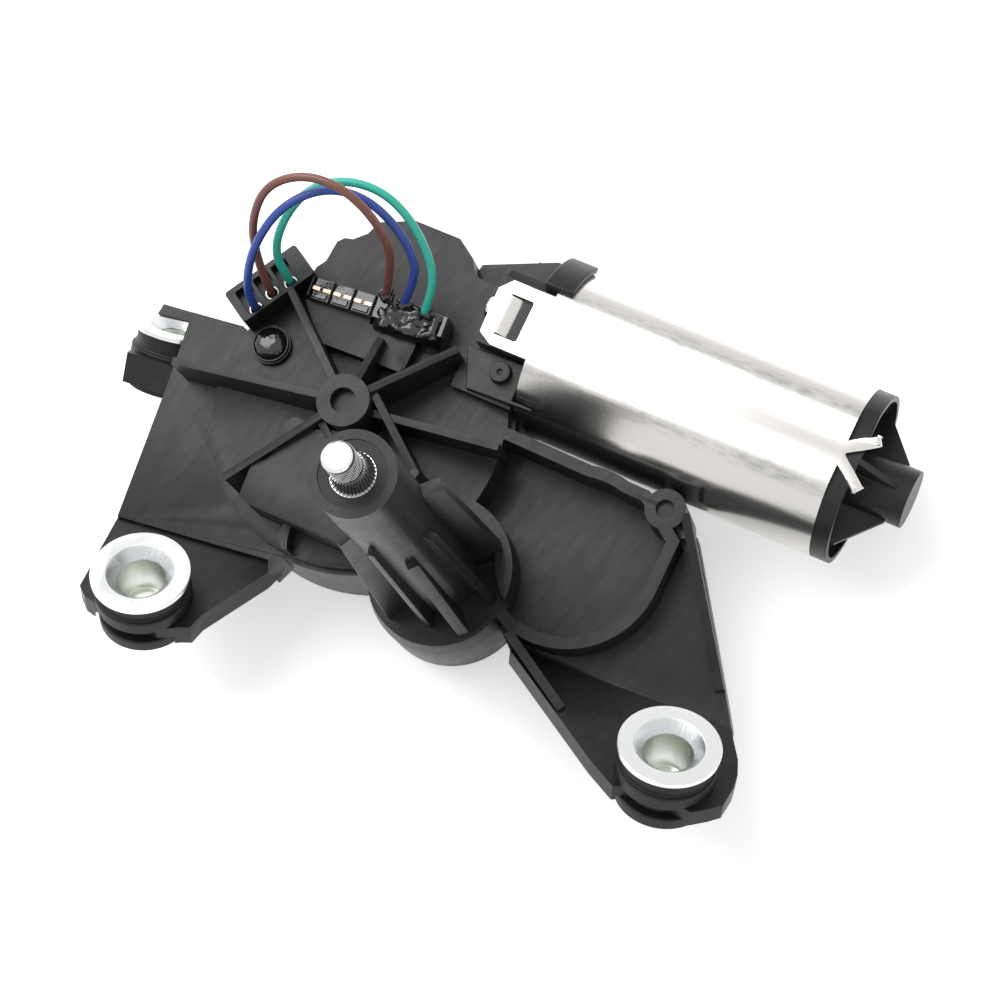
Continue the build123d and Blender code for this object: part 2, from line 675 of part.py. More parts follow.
with BuildPart() as crank_pin:
    with BuildSketch(level(rod_top + opened_gap)):
        with Locations((crank_x, crank_y)):
            Circle(crank_pin_r)
    extrude(amount=wheel_bottom + crank_pin_depth - rod_top - opened_gap)
finish(crank_pin, "crank_pin")

with BuildPart() as wheel_axle:
    with BuildSketch(level(wheel_bottom - 0.1)):
        with Locations((wheel_x, wheel_y)):
            Circle(axle_r - fit_gap / 2)
    extrude(amount=axle_top - fit_gap - wheel_bottom + 0.1)
    with BuildSketch(level(wheel_bottom - 0.1)):
        with Locations((wheel_x, wheel_y)):
            Circle(axle_head_r)
    extrude(amount=-axle_head_height)
finish(wheel_axle, "wheel_axle")

# Three spring contacts hang from the roof and brush the contact disc.
contact_gap = 0.1
contact_strip = 0.6
contact_width = 2.4
contact_radii = (16.5, 20.5, 24.5)
roof_z = disc_z - roof
contact_length = 18.0

with BuildPart() as park_contacts:
    with BuildSketch(level(roof_z - fit_gap)):
        for radius in contact_radii:
            with Locations((wheel_x - contact_length / 2, wheel_y + radius)):
                Rectangle(contact_length, contact_width)
        with Locations((wheel_x - contact_length - 1, wheel_y + contact_radii[1])):
            Rectangle(4, contact_radii[2] - contact_radii[0] + contact_width)
    extrude(amount=-contact_strip)
    with BuildSketch(level(roof_z - contact_strip)):
        for radius in contact_radii:
            with Locations((wheel_x - 1.2, wheel_y + radius)):
                Circle(1.0)
    extrude(amount=wheel_top + disc_thickness + contact_gap - roof_z + contact_strip)
finish(park_contacts, "park_contacts")

# Armature
arbor_start = tunnel_start + 0.6
arbor_end = 100.0
worm_turns = 6
worm_core_r = worm_pitch_r - tooth_height - root_gap
worm_half = worm_turns * worm_lead / 2
core_start = 26.0
core_end = 60.0
core_r = 14.5
slot_count = 12
slot_width = 3.0
slot_bottom_r = 8.0
slot_top_r = 13.0
slot_mouth = 1.4
commutator_start = 7.0
commutator_end = 17.0
commutator_r = 8.0
armature_gap = 0.1
end_turn = 4.5

with BuildPart() as armature_shaft:
    with BuildSketch(across(arbor_start)):
        Circle(arbor_r)
    extrude(amount=arbor_end - arbor_start)
    with BuildSketch(across(wheel_x - worm_half - 1.5)):
        Circle(worm_core_r)
    extrude(amount=2 * worm_half + 3)
    worm_start = Plane(origin=(wheel_x - worm_half, motor_y, motor_z), x_dir=(0, -1, 0), z_dir=(1, 0, 0))
    thread = worm_start.from_local_coords(Edge.make_helix(worm_lead, 2 * worm_half, worm_pitch_r))
    with BuildSketch(Plane(origin=thread @ 0, x_dir=(0, -1, 0), z_dir=thread % 0)):
        inner = worm_pitch_r - worm_core_r + 0.3
        foot = tooth_half + tan(radians(pressure_angle)) * inner
        tip = tooth_half - tan(radians(pressure_angle)) * tooth_height
        Polygon((-inner, -foot), (tooth_height, -tip), (tooth_height, tip), (-inner, foot), align=None)
    sweep(path=thread, is_frenet=True)
finish(armature_shaft, "armature_shaft")

with BuildPart() as lamination_core:
    with BuildSketch(across(core_start)):
        Circle(core_r)
        Circle(arbor_r + fit_gap / 2, mode=Mode.SUBTRACT)
        with PolarLocations(slot_bottom_r, slot_count):
            with Locations((0, 0)):
                Rectangle(slot_top_r - slot_bottom_r, slot_width, align=(Align.MIN, Align.CENTER), mode=Mode.SUBTRACT)
                Rectangle(core_r, slot_mouth, align=(Align.MIN, Align.CENTER), mode=Mode.SUBTRACT)
    extrude(amount=core_end - core_start)
finish(lamination_core, "lamination_core")

with BuildPart() as armature_windings:
    with BuildSketch(across(core_start - armature_gap)):
        with PolarLocations(slot_bottom_r + armature_gap, slot_count):
            Rectangle(slot_top_r - slot_bottom_r - 2 * armature_gap, slot_width - 2 * armature_gap,
                      align=(Align.MIN, Align.CENTER))
    extrude(amount=core_end - core_start + 2 * armature_gap)
    for start, step in ((core_start - armature_gap, -end_turn), (core_end + armature_gap, end_turn)):
        with BuildSketch(across(start)):
            Circle(slot_top_r)
            Circle(arbor_r + 1.5, mode=Mode.SUBTRACT)
        extrude(amount=step)
finish(armature_windings, "armature_windings")

with BuildPart() as commutator:
    with BuildSketch(across(commutator_start)):
        Circle(commutator_r)
        Circle(arbor_r + fit_gap / 2, mode=Mode.SUBTRACT)
        with PolarLocations(commutator_r, slot_count):
            Rectangle(1.2, 0.5, mode=Mode.SUBTRACT)
    extrude(amount=commutator_end - commutator_start)
finish(commutator, "commutator")

# Can, end cap, magnets, brushes and bearings
tongue = [(-13.6, 60.3), (-14.1, 72.9), (-11.1, 76.3), (1.1, 76.2), (1.1, 58.0), (-9.6, 58.0)]
tongue_window = (-10.4, -3.5, 61.0, 72.8)
fork_root_x = 84.0
fork_tips = ((93.7, 73.6), (93.5, 59.5))
fork_width = 3.0
cap_plate = 2.0
cap_rim = 4.5
cap_spigot = 3.0
cap_rim_wall = 1.5
boss_r = 7.85
boss_end = 104.0
cap_web = 1.6
bearing_r = 6.0
bearing_length = 7.0
front_bearing_end = -4.0
front_bearing_length = 8.0
magnet_inner_r = 15.6
magnet_start = 22.0
magnet_end = 66.0
magnet_half_angle = 57.0
brush_plate = 2.0
brush_width = 6.0
brush_depth = 5.0
brush_length = 6.5
brush_x = 12.0
box_wall = 1.2
box_start = commutator_r + 1.5
box_gap = 0.5
box_reach = sqrt((can_r - can_wall - cap_gap)**2 - (brush_width / 2 + box_wall)**2) - box_gap
box_length = box_reach - box_start
spring_r = 1.6
spring_wire_r = 0.25
spring_start = commutator_r + fit_gap + brush_length + 0.1 + spring_wire_r
spring_length = box_reach - box_wall - 0.1 - spring_wire_r - spring_start
spring_pitch = spring_length / 4

with BuildPart() as motor_can:
    with BuildSketch(across(can_start)):
        can_section(can_r, can_flat)
    extrude(amount=can_end - can_start)
    # Tongue at the gearbox end and forked tabs at the other, in the plane of the flat
    with BuildSketch(level(motor_z + can_flat)):
        Polygon(*tongue, align=None)
        for tip_x, tip_y in fork_tips:
            aim = degrees(atan2(tip_y - motor_y, tip_x - fork_root_x))
            with Locations((fork_root_x, motor_y)):
                Rectangle(hypot(tip_x - fork_root_x, tip_y - motor_y), fork_width, rotation=aim,
                          align=(Align.MIN, Align.CENTER))
    extrude(amount=-can_wall)
    with BuildSketch(level(motor_z + can_flat)):
        x0, x1, y0, y1 = tongue_window
        with Locations(((x0 + x1) / 2, (y0 + y1) / 2)):
            RectangleRounded(x1 - x0, y1 - y0, 0.8)
    extrude(amount=-can_wall, mode=Mode.SUBTRACT)
    with BuildSketch(across(can_start)):
        can_section(can_r - can_wall, can_flat - can_wall)
    extrude(amount=can_end - can_start, mode=Mode.SUBTRACT)
finish(motor_can, "motor_can")

cap_r = can_r - 0.2
cap_flat = can_flat - can_wall - cap_gap

with BuildPart() as end_cap:
    with BuildSketch(across(can_end - cap_spigot)):
        can_section(can_r - can_wall - cap_gap, can_flat - can_wall - cap_gap)
    extrude(amount=cap_spigot)
    with BuildSketch(across(can_end + fit_gap)):
        can_section(cap_r, cap_flat)
    extrude(amount=cap_rim)
    with BuildSketch(across(can_end)):
        can_section(cap_r - cap_rim_wall, cap_flat - cap_rim_wall)
    extrude(amount=cap_rim)
    with BuildSketch(across(can_end + cap_plate)):
        can_section(cap_r - cap_rim_wall, cap_flat - cap_rim_wall)
    extrude(amount=cap_rim, mode=Mode.SUBTRACT)
    with BuildSketch(across(can_end)):
        Circle(boss_r)
    extrude(amount=boss_end - can_end)
    for turn in (0, 90, 180, 270):
        t = radians(turn)
        with BuildSketch(Plane(origin=(0, motor_y, motor_z), x_dir=(1, 0, 0), z_dir=(0, -sin(t), cos(t)))):
            Polygon((can_end + 1, boss_r - 1), (boss_end - 4, boss_r - 1), (boss_end - 4, boss_r + 0.4),
                    (can_end + cap_rim, cap_flat - 1), (can_end + 1, cap_flat - 1), align=None)
        extrude(amount=cap_web / 2, both=True)
    with BuildSketch(across(can_end - cap_spigot)):
        Circle(can_r - can_wall - cap_gap - 2.0)
        Circle(bearing_r + 3.0, mode=Mode.SUBTRACT)
    extrude(amount=cap_spigot, mode=Mode.SUBTRACT)
    with BuildSketch(across(can_end - cap_spigot)):
        Circle(bearing_r + fit_gap / 2)
    extrude(amount=arbor_end + 1.0 - can_end + cap_spigot, mode=Mode.SUBTRACT)
finish(end_cap, "end_cap")

# A black saddle holds the can's mouth on its far side.
with BuildPart() as motor_collar:
    with BuildSketch(across(saddle_start)):
        sector(adapter_r + cap_gap, can_r + saddle_wall, *saddle_angles)
    extrude(amount=can_start - cap_gap - saddle_start)
    with BuildSketch(across(can_start - cap_gap)):
        sector(can_r + cap_gap, can_r + saddle_wall, *saddle_angles)
    extrude(amount=saddle_end - can_start + cap_gap)
    with BuildSketch(level(lobe_top)):
        with Locations((can_start, motor_y)):
            Rectangle(3 * can_r, 3 * can_r)
    extrude(amount=-2 * can_r, mode=Mode.SUBTRACT)
finish(motor_collar, "motor_collar")

clamp_plate_outline = [(-16.5, 56.2), (-16.3, 57.0), (0.7, 57.6), (0.7, 50.5), (0.7, 47.6), (6.7, 47.6), (6.7, 46.8),
                       (-12.0, 46.0)]
clamp_thickness = 2.0
pin_x = -4.9
pin_y = 53.0
rivet_r = 2.8
rivet_height = 2.5

with BuildPart() as clamp_plate:
    with BuildSketch(level(clamp_base_z + fit_gap)):
        Polygon(*clamp_plate_outline, align=None)
    extrude(amount=clamp_thickness)
    with BuildSketch(level(clamp_base_z + fit_gap + clamp_thickness)):
        with Locations((pin_x, pin_y)):
            Circle(rivet_r)
    extrude(amount=rivet_height)
    with BuildSketch(level(clamp_base_z + fit_gap + clamp_thickness + rivet_height)):
        with Locations((pin_x, pin_y)):
            Circle(0.6)
    extrude(amount=-0.6, mode=Mode.SUBTRACT)
finish(clamp_plate, "clamp_plate")

# Screws: one into the adapter's face, one under sealant on the disc, four under the cover
with BuildPart() as can_screw:
    with BuildSketch(across(adapter_start - fit_gap)):
        with Locations((can_screw_y - motor_y, can_screw_z - motor_z)):
            Circle(3.0)
    extrude(amount=-2.2)
    chamfer(can_screw.edges().group_by(Axis.X)[0], 0.7)
    with BuildSketch(across(adapter_start - fit_gap)):
        with Locations((can_screw_y - motor_y, can_screw_z - motor_z)):
            Circle(can_screw_hole_r - fit_gap / 2)
    extrude(amount=can_screw_depth - 1.0)
finish(can_screw, "can_screw")

sealed_height = 2.4

with BuildPart() as sealed_screw:
    with BuildSketch(level(disc_z + screw_boss_height + fit_gap)):
        with Locations((screw_x, screw_y)):
            RegularPolygon(4.2, 6)
    extrude(amount=sealed_height)
    with BuildSketch(level(disc_z + screw_boss_height + fit_gap)):
        with Locations((screw_x, screw_y)):
            Circle(screw_hole_r - fit_gap)
    extrude(amount=roof_z + 0.2 - disc_z - screw_boss_height)
finish(sealed_screw, "sealed_screw")

with BuildPart() as bottom_cover:
    with BuildSketch(level(rim_z - fit_gap)):
        with Locations((wheel_x, wheel_y)):
            Circle(drum_r)
        Circle(tower_base_r)
        with Locations((can_start - 0.4, motor_y - can_r - 0.4)):
            Rectangle(can_r, can_r, align=(Align.MIN, Align.MIN), mode=Mode.SUBTRACT)
    extrude(amount=-cover_thickness)
    with BuildSketch(level(rim_z - fit_gap)):
        with Locations((wheel_x, wheel_y)):
            Circle(cavity_r - 0.2)
            Circle(cavity_r - 2.2, mode=Mode.SUBTRACT)
        Circle(lever_cavity_r + 1, mode=Mode.SUBTRACT)
    extrude(amount=1.5)
    with BuildSketch(level(rim_z - fit_gap - cover_thickness)):
        with Locations((wheel_x, wheel_y)):
            Circle(cavity_r - 8)
    extrude(amount=0.6, mode=Mode.SUBTRACT)
    with BuildSketch(level(rim_z - fit_gap)):
        with Locations((wheel_x, wheel_y)):
            for angle in cover_screw_angles:
                with PolarLocations(cover_screw_ring, 1, start_angle=angle):
                    Circle(cover_screw_r + 0.2)
    extrude(amount=-cover_thickness, mode=Mode.SUBTRACT)
finish(bottom_cover, "bottom_cover")

with BuildPart() as cover_screws:
    with BuildSketch(level(rim_z - cover_thickness - 2 * fit_gap)):
        with Locations((wheel_x, wheel_y)):
            for angle in cover_screw_angles:
                with PolarLocations(cover_screw_ring, 1, start_angle=angle):
                    Circle(2.2)
    extrude(amount=-1.5)
    with BuildSketch(level(rim_z - cover_thickness - 2 * fit_gap)):
        with Locations((wheel_x, wheel_y)):
            for angle in cover_screw_angles:
                with PolarLocations(cover_screw_ring, 1, start_angle=angle):
                    Circle(cover_screw_r - fit_gap / 2)
    extrude(amount=cover_thickness + cover_screw_depth - 1)
finish(cover_screws, "cover_screws")

# Connector block beside the drum, its terminals, the strip on the disc and the three wires
block_x = -73.0
block_y = 51.0
block_length = 23.0
block_width = 10.0
block_turn = 59.7
block_top = flange_z + 15.0
block_bottom = flange_z - 12.0
seat_gap = 0.05
wire_r = 1.15
socket_r = 1.9
socket_depth = 8.0
terminal_wall = 0.35
sockets = [(-71.9, 49.3), (-73.9, 43.6), (-68.4, 53.8)]
cell_middle = (-1.0, -0.3)
cell_step = 5.75
cell_length = 4.75
cell_width = 7.6
cell_depth = 3.0
terminal_rise = 0.6
shroud_top = flange_z + 1.5
shroud_inner = -1.0
shroud_outer = 8.6
plug_depth = 10.0
plug_length = 17.0
plug_inner = 1.0
plug_width = 6.4
plug_pin_r = 0.6
plug_pin_length = 4.0
plug_pin_step = 5.0
block_plane = Plane(origin=(block_x, block_y, 0), x_dir=(cos(radians(block_turn)), sin(radians(block_turn)), 0),
                    z_dir=(0, 0, 1))

with BuildPart() as connector_housing:
    with BuildSketch(block_plane.offset(block_bottom)):
        RectangleRounded(block_length, block_width, 1.0)
    extrude(amount=block_top - block_bottom)
    with BuildSketch(block_plane.offset(block_bottom)):
        with Locations((0, shroud_inner)):
            Rectangle(block_length, shroud_outer - shroud_inner, align=(Align.CENTER, Align.MIN))
    extrude(amount=shroud_top - block_bottom)
    with BuildSketch(level(block_bottom)):
        with Locations((wheel_x, wheel_y)):
            Circle(drum_r + seat_gap)
    extrude(amount=disc_z + seat_gap - block_bottom, mode=Mode.SUBTRACT)
    with BuildSketch(level(block_bottom)):
        Polygon(*lobe, align=None)
        offset(amount=seat_gap)
    extrude(amount=disc_z + seat_gap - block_bottom, mode=Mode.SUBTRACT)
    with BuildSketch(block_plane.offset(block_bottom)):
        with Locations((0, plug_inner)):
            Rectangle(plug_length, plug_width, align=(Align.CENTER, Align.MIN))
    extrude(amount=plug_depth, mode=Mode.SUBTRACT)
    with BuildSketch(block_plane.offset(block_top)):
        with Locations(cell_middle):
            with GridLocations(cell_step, 1, len(sockets), 1):
                RectangleRounded(cell_length, cell_width, 0.6)
    extrude(amount=-cell_depth, mode=Mode.SUBTRACT)
    with BuildSketch(level(block_top)):
        with Locations(*sockets):
            Circle(socket_r)
    extrude(amount=-socket_depth, mode=Mode.SUBTRACT)
finish(connector_housing, "connector_housing")

with BuildPart() as connector_terminals:
    with BuildSketch(level(block_top - socket_depth)):
        with Locations(*sockets):
            Circle(socket_r - fit_gap)
            Circle(socket_r - fit_gap - terminal_wall, mode=Mode.SUBTRACT)
    extrude(amount=socket_depth - cell_depth + terminal_rise)
    with BuildSketch(block_plane.offset(block_bottom + plug_depth)):
        with Locations((0, plug_inner + plug_width / 2)):
            with GridLocations(plug_pin_step, 1, len(sockets), 1):
                Circle(plug_pin_r)
    extrude(amount=-plug_pin_length)
finish(connector_terminals, "connector_terminals")

strip_length = 38.0
strip_width = 6.0
strip_top = flange_z + 13.0
dash_count = 6
dash_step = 3.0
dash_height = 0.5
potting_x = 9.0
potting_y = 1.0
potting_length = 21.0
potting_width = 10.5
potting_top = flange_z + 14.0

with BuildPart() as terminal_strip:
    with BuildSketch(strip_plane.offset(disc_z + seat_gap)):
        Rectangle(strip_length, strip_width)
    extrude(amount=strip_top - disc_z - seat_gap)
finish(terminal_strip, "terminal_strip")

with BuildPart() as strip_terminals:
    with BuildSketch(strip_plane.offset(strip_top)):
        with Locations((-strip_length / 4 - 1, 0)):
            with GridLocations(dash_step, 1, dash_count, 1):
                Rectangle(2.0, 0.9)
    extrude(amount=dash_height)
finish(strip_terminals, "strip_terminals")

with BuildPart() as potting:
    with BuildSketch(strip_plane.offset(disc_z + seat_gap)):
        with Locations((potting_x, potting_y)):
            RectangleRounded(potting_length, potting_width, 3.0)
    extrude(amount=potting_top - disc_z - seat_gap)
    with BuildSketch(strip_plane.offset(disc_z)):
        Rectangle(strip_length + 2 * seat_gap, strip_width + 2 * seat_gap)
    extrude(amount=strip_top + seat_gap - disc_z, mode=Mode.SUBTRACT)
finish(potting, "potting")

wire_gap = 0.9
wire_low = block_top - socket_depth + 1.5
wire_end = potting_top + wire_gap
brown_route = [(-71.9, 49.3, wire_low), (-71.9, 49.3, -92.0), (-74.9, 53.7, -82.0), (-76.4, 59.5, -71.0),
               (-73.8, 67.7, -62.0), (-64.4, 73.3, -58.0), (-53.2, 74.0, -58.5), (-44.6, 71.4, -65.0),
               (-40.3, 67.9, -75.0), (-40.6, 63.6, -84.5), (-42.3, 60.6, wire_end)]
blue_route = [(-73.9, 43.6, wire_low), (-73.9, 43.6, -92.0), (-75.1, 46.7, -83.0), (-73.3, 54.7, -72.0),
              (-68.4, 64.7, -64.5), (-60.0, 73.1, -63.0), (-50.1, 75.9, -66.0), (-40.4, 73.4, -72.5),
              (-34.5, 68.6, -81.5), (-34.9, 63.9, -88.0), (-36.5, 60.2, wire_end)]
green_route = [(-68.4, 53.8, wire_low), (-68.4, 53.8, -92.0), (-71.8, 57.1, -83.0), (-70.1, 64.6, -74.0),
               (-65.1, 73.0, -68.0), (-56.9, 78.2, -66.5), (-46.7, 79.7, -68.5), (-37.9, 76.7, -74.5),
               (-30.6, 69.9, -83.0), (-29.4, 64.2, -88.6), (-30.4, 60.0, wire_end)]


def bend_radii(route):
    # Each bend uses up at most nine tenths of its shorter run.
    radii = []
    for before, here, after in zip(route, route[1:], route[2:]):
        first = Vector(*here) - Vector(*before)
        second = Vector(*after) - Vector(*here)
        turn = radians(first.get_angle(second))
        radii.append(0.45 * min(first.length, second.length) / tan(turn / 2))
    return radii


for name, route in (("wire_brown", brown_route), ("wire_blue", blue_route), ("wire_green", green_route)):
    with BuildPart() as wire:
        with BuildLine() as path:
            FilletPolyline(*route, radius=bend_radii(route))
        with BuildSketch(Plane(origin=path.line @ 0, z_dir=path.line % 0)):
            Circle(wire_r)
        sweep(path=path.line)
    finish(wire, name)
    print(name, "smallest bend radius", round(min(bend_radii(route)), 2), "wire radius", wire_r)

# Rubber mounts: a grommet clipped into its ear, with a flanged sleeve through it
neck_r = 11.6
rim_depth = 6.4
rubber_gap = 0.1
sleeve_outer_r = sleeve_inner_r + sleeve_wall
funnel_depth = 3.0
rubber_end = sleeve_height - 0.6
groove_bottom_r = groove_r - rubber_gap
rubber_profile = [
    (funnel_r + sleeve_wall, -washer_thickness - rubber_gap), (neck_r, -washer_thickness - rubber_gap),
    (neck_r, -rim_depth), (rim_r, -rim_depth), (rim_r, -seat_depth + rubber_gap),
    (groove_bottom_r, -seat_depth + rubber_gap), (groove_bottom_r, -hole_depth - rubber_gap),
    (grommet_r, -hole_depth - rubber_gap), (grommet_r, -rubber_end), (sleeve_outer_r + rubber_gap, -rubber_end),
    (sleeve_outer_r + rubber_gap, -washer_thickness - rubber_gap - funnel_depth)]
sleeve_profile = [
    (funnel_r, 0), (washer_r, 0), (washer_r, -washer_thickness), (funnel_r + sleeve_wall * 0.6, -washer_thickness),
    (sleeve_outer_r, -washer_thickness - funnel_depth), (sleeve_outer_r, -sleeve_height),
    (bolt_hole_r, -sleeve_height), (bolt_hole_r, -sleeve_height + bolt_land),
    (sleeve_inner_r, -sleeve_height + bolt_land), (sleeve_inner_r, -funnel_depth)]

for side, seat in (("left", left_mount), ("right", right_mount), ("upper", upper_mount)):
    for kind, profile in (("grommet_", rubber_profile), ("sleeve_", sleeve_profile)):
        with BuildPart() as turned:
            with BuildSketch(Plane(origin=seat.origin, x_dir=seat.x_dir, z_dir=-seat.y_dir)):
                Polygon(*profile, align=None)
            revolve(axis=Axis(seat.origin, seat.z_dir))
        finish(turned, kind + side)

# Inside the can: bearings, magnets, brush plate, brushes and springs
with BuildPart() as front_bearing:
    with BuildSketch(across(front_bearing_end - front_bearing_length)):
        Circle(tunnel_r - fit_gap / 2)
        Circle(arbor_r + bush_gap, mode=Mode.SUBTRACT)
    extrude(amount=front_bearing_length)
finish(front_bearing, "front_bearing")

with BuildPart() as rear_bearing:
    with BuildSketch(across(arbor_end - 1 - bearing_length)):
        Circle(bearing_r)
        Circle(arbor_r + bush_gap, mode=Mode.SUBTRACT)
    extrude(amount=bearing_length)
finish(rear_bearing, "rear_bearing")

with BuildPart() as motor_magnets:
    for side in (0, 180):
        with BuildSketch(across(magnet_start)):
            sector(magnet_inner_r, can_r - can_wall - cap_gap, side - magnet_half_angle, side + magnet_half_angle)
        extrude(amount=magnet_end - magnet_start)
finish(motor_magnets, "motor_magnets")

with BuildPart() as brush_holder:
    with BuildSketch(across(spigot_end + 0.6)):
        can_section(can_r - can_wall - cap_gap, can_flat - can_wall - cap_gap)
        Circle(box_start, mode=Mode.SUBTRACT)
    extrude(amount=brush_plate)
    with BuildSketch(across(spigot_end + 0.6 + brush_plate)):
        for side in (-1, 1):
            with Locations((side * (box_start + box_length / 2), 0)):
                Rectangle(box_length, brush_width + 2 * box_wall)
    extrude(amount=brush_x + brush_depth / 2 + box_wall - spigot_end - 0.6 - brush_plate)
    with BuildSketch(across(brush_x - brush_depth / 2 - fit_gap)):
        for side in (-1, 1):
            with Locations((side * (box_start + box_length / 2 - box_wall), 0)):
                Rectangle(box_length, brush_width + 2 * fit_gap)
    extrude(amount=brush_depth + 2 * fit_gap, mode=Mode.SUBTRACT)
finish(brush_holder, "brush_holder")

with BuildPart() as carbon_brushes:
    with BuildSketch(across(brush_x - brush_depth / 2)):
        for side in (-1, 1):
            with Locations((side * (commutator_r + fit_gap + brush_length / 2), 0)):
                Rectangle(brush_length, brush_width)
    extrude(amount=brush_depth)
finish(carbon_brushes, "carbon_brushes")

with BuildPart() as brush_springs:
    for side in (-1, 1):
        spring_plane = Plane(origin=(brush_x, motor_y + side * spring_start, motor_z), x_dir=(1, 0, 0),
                             z_dir=(0, side, 0))
        coil = spring_plane.from_local_coords(Edge.make_helix(spring_pitch, spring_length, spring_r))
        with BuildSketch(Plane(origin=coil @ 0, z_dir=coil % 0)):
            Circle(spring_wire_r)
        sweep(path=coil, is_frenet=True)
finish(brush_springs, "brush_springs")
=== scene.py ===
from math import cos, pi, radians, sin, sqrt, tau

import bmesh
import bpy
from mathutils import Matrix, Vector, noise


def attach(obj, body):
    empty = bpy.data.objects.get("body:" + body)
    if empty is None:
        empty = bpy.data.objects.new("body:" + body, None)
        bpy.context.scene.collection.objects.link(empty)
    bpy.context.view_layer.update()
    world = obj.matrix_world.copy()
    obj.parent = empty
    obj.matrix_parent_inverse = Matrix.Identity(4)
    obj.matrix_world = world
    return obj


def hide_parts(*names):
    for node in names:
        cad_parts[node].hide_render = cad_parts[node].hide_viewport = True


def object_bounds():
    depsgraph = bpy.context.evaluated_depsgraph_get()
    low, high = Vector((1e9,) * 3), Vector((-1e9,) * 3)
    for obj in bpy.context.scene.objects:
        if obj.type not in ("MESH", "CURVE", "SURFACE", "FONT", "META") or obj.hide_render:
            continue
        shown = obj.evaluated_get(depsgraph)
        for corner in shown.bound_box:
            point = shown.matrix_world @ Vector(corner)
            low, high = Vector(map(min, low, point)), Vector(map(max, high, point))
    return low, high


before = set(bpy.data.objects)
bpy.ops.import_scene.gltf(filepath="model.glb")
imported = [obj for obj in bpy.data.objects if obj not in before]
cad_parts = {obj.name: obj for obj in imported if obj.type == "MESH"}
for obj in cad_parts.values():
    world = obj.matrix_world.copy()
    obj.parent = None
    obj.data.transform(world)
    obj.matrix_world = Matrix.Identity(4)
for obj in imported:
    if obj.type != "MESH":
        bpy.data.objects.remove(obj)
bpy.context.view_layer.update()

# Gear housing: one moulding in black glass-filled nylon, with the tower, the ribbed disc, the pocket and
# three ears. The mould leaves soft corners, and the glass fibres show as pale streaks that run along the
# flow.


def linked(tree, source, target):
    tree.links.new(source, target)


def effect_group(name, inputs, outputs):
    group = bpy.data.node_groups.new(name, "ShaderNodeTree")
    for label, kind, value in inputs:
        socket = group.interface.new_socket(label, in_out="INPUT", socket_type=kind)
        socket.default_value = value
    for label, kind in outputs:
        group.interface.new_socket(label, in_out="OUTPUT", socket_type=kind)
    return group, group.nodes.new("NodeGroupInput"), group.nodes.new("NodeGroupOutput")


def flow_streak_group():
    # Pale streaks along one direction of the moulding, broken up by soft patches.
    group, given, result = effect_group(
        "flow_streaks",
        [("Turn", "NodeSocketFloat", 0.0), ("Width", "NodeSocketFloat", 700.0),
         ("Length", "NodeSocketFloat", 60.0), ("Patch", "NodeSocketFloat", 40.0)],
        [("Mask", "NodeSocketFloat")])
    nodes = group.nodes
    place = nodes.new("ShaderNodeTexCoord")
    turn = nodes.new("ShaderNodeVectorRotate")
    turn.rotation_type = "Z_AXIS"
    linked(group, place.outputs["Object"], turn.inputs["Vector"])
    linked(group, given.outputs["Turn"], turn.inputs["Angle"])
    stretch = nodes.new("ShaderNodeCombineXYZ")
    linked(group, given.outputs["Length"], stretch.inputs["X"])
    linked(group, given.outputs["Width"], stretch.inputs["Y"])
    linked(group, given.outputs["Width"], stretch.inputs["Z"])
    scaled = nodes.new("ShaderNodeVectorMath")
    scaled.operation = "MULTIPLY"
    linked(group, turn.outputs["Vector"], scaled.inputs[0])
    linked(group, stretch.outputs["Vector"], scaled.inputs[1])
    fibres = nodes.new("ShaderNodeTexNoise")
    fibres.inputs["Scale"].default_value = 1.0
    fibres.inputs["Detail"].default_value = 4.0
    linked(group, scaled.outputs["Vector"], fibres.inputs["Vector"])
    patches = nodes.new("ShaderNodeTexNoise")
    patches.inputs["Detail"].default_value = 3.0
    linked(group, place.outputs["Object"], patches.inputs["Vector"])
    linked(group, given.outputs["Patch"], patches.inputs["Scale"])
    both = nodes.new("ShaderNodeMath")
    both.operation = "MULTIPLY"
    linked(group, fibres.outputs["Fac"], both.inputs[0])
    linked(group, patches.outputs["Fac"], both.inputs[1])
    spread = nodes.new("ShaderNodeMapRange")
    spread.inputs["From Min"].default_value = 0.14
    spread.inputs["From Max"].default_value = 0.44
    linked(group, both.outputs["Value"], spread.inputs["Value"])
    linked(group, spread.outputs["Result"], result.inputs["Mask"])
    return group


def grain_group():
    # Fine, even roughness of a moulded, plated or cast skin.
    group, given, result = effect_group(
        "skin_grain", [("Scale", "NodeSocketFloat", 1500.0), ("Detail", "NodeSocketFloat", 3.0)],
        [("Height", "NodeSocketFloat")])
    place = group.nodes.new("ShaderNodeTexCoord")
    bumps = group.nodes.new("ShaderNodeTexNoise")
    linked(group, place.outputs["Object"], bumps.inputs["Vector"])
    linked(group, given.outputs["Scale"], bumps.inputs["Scale"])
    linked(group, given.outputs["Detail"], bumps.inputs["Detail"])
    linked(group, bumps.outputs["Fac"], result.inputs["Height"])
    return group


flow_streaks = flow_streak_group()
skin_grain = grain_group()


def placed(tree, group, **values):
    node = tree.nodes.new("ShaderNodeGroup")
    node.node_tree = group
    for label, value in values.items():
        node.inputs[label].default_value = value
    return node


def new_material(name, roughness, metallic=0.0, coat=0.0):
    material = bpy.data.materials.new(name)
    material.use_nodes = True
    shader = material.node_tree.nodes["Principled BSDF"]
    shader.inputs["Roughness"].default_value = roughness
    shader.inputs["Metallic"].default_value = metallic
    shader.inputs["Coat Weight"].default_value = coat
    return material, material.node_tree, shader


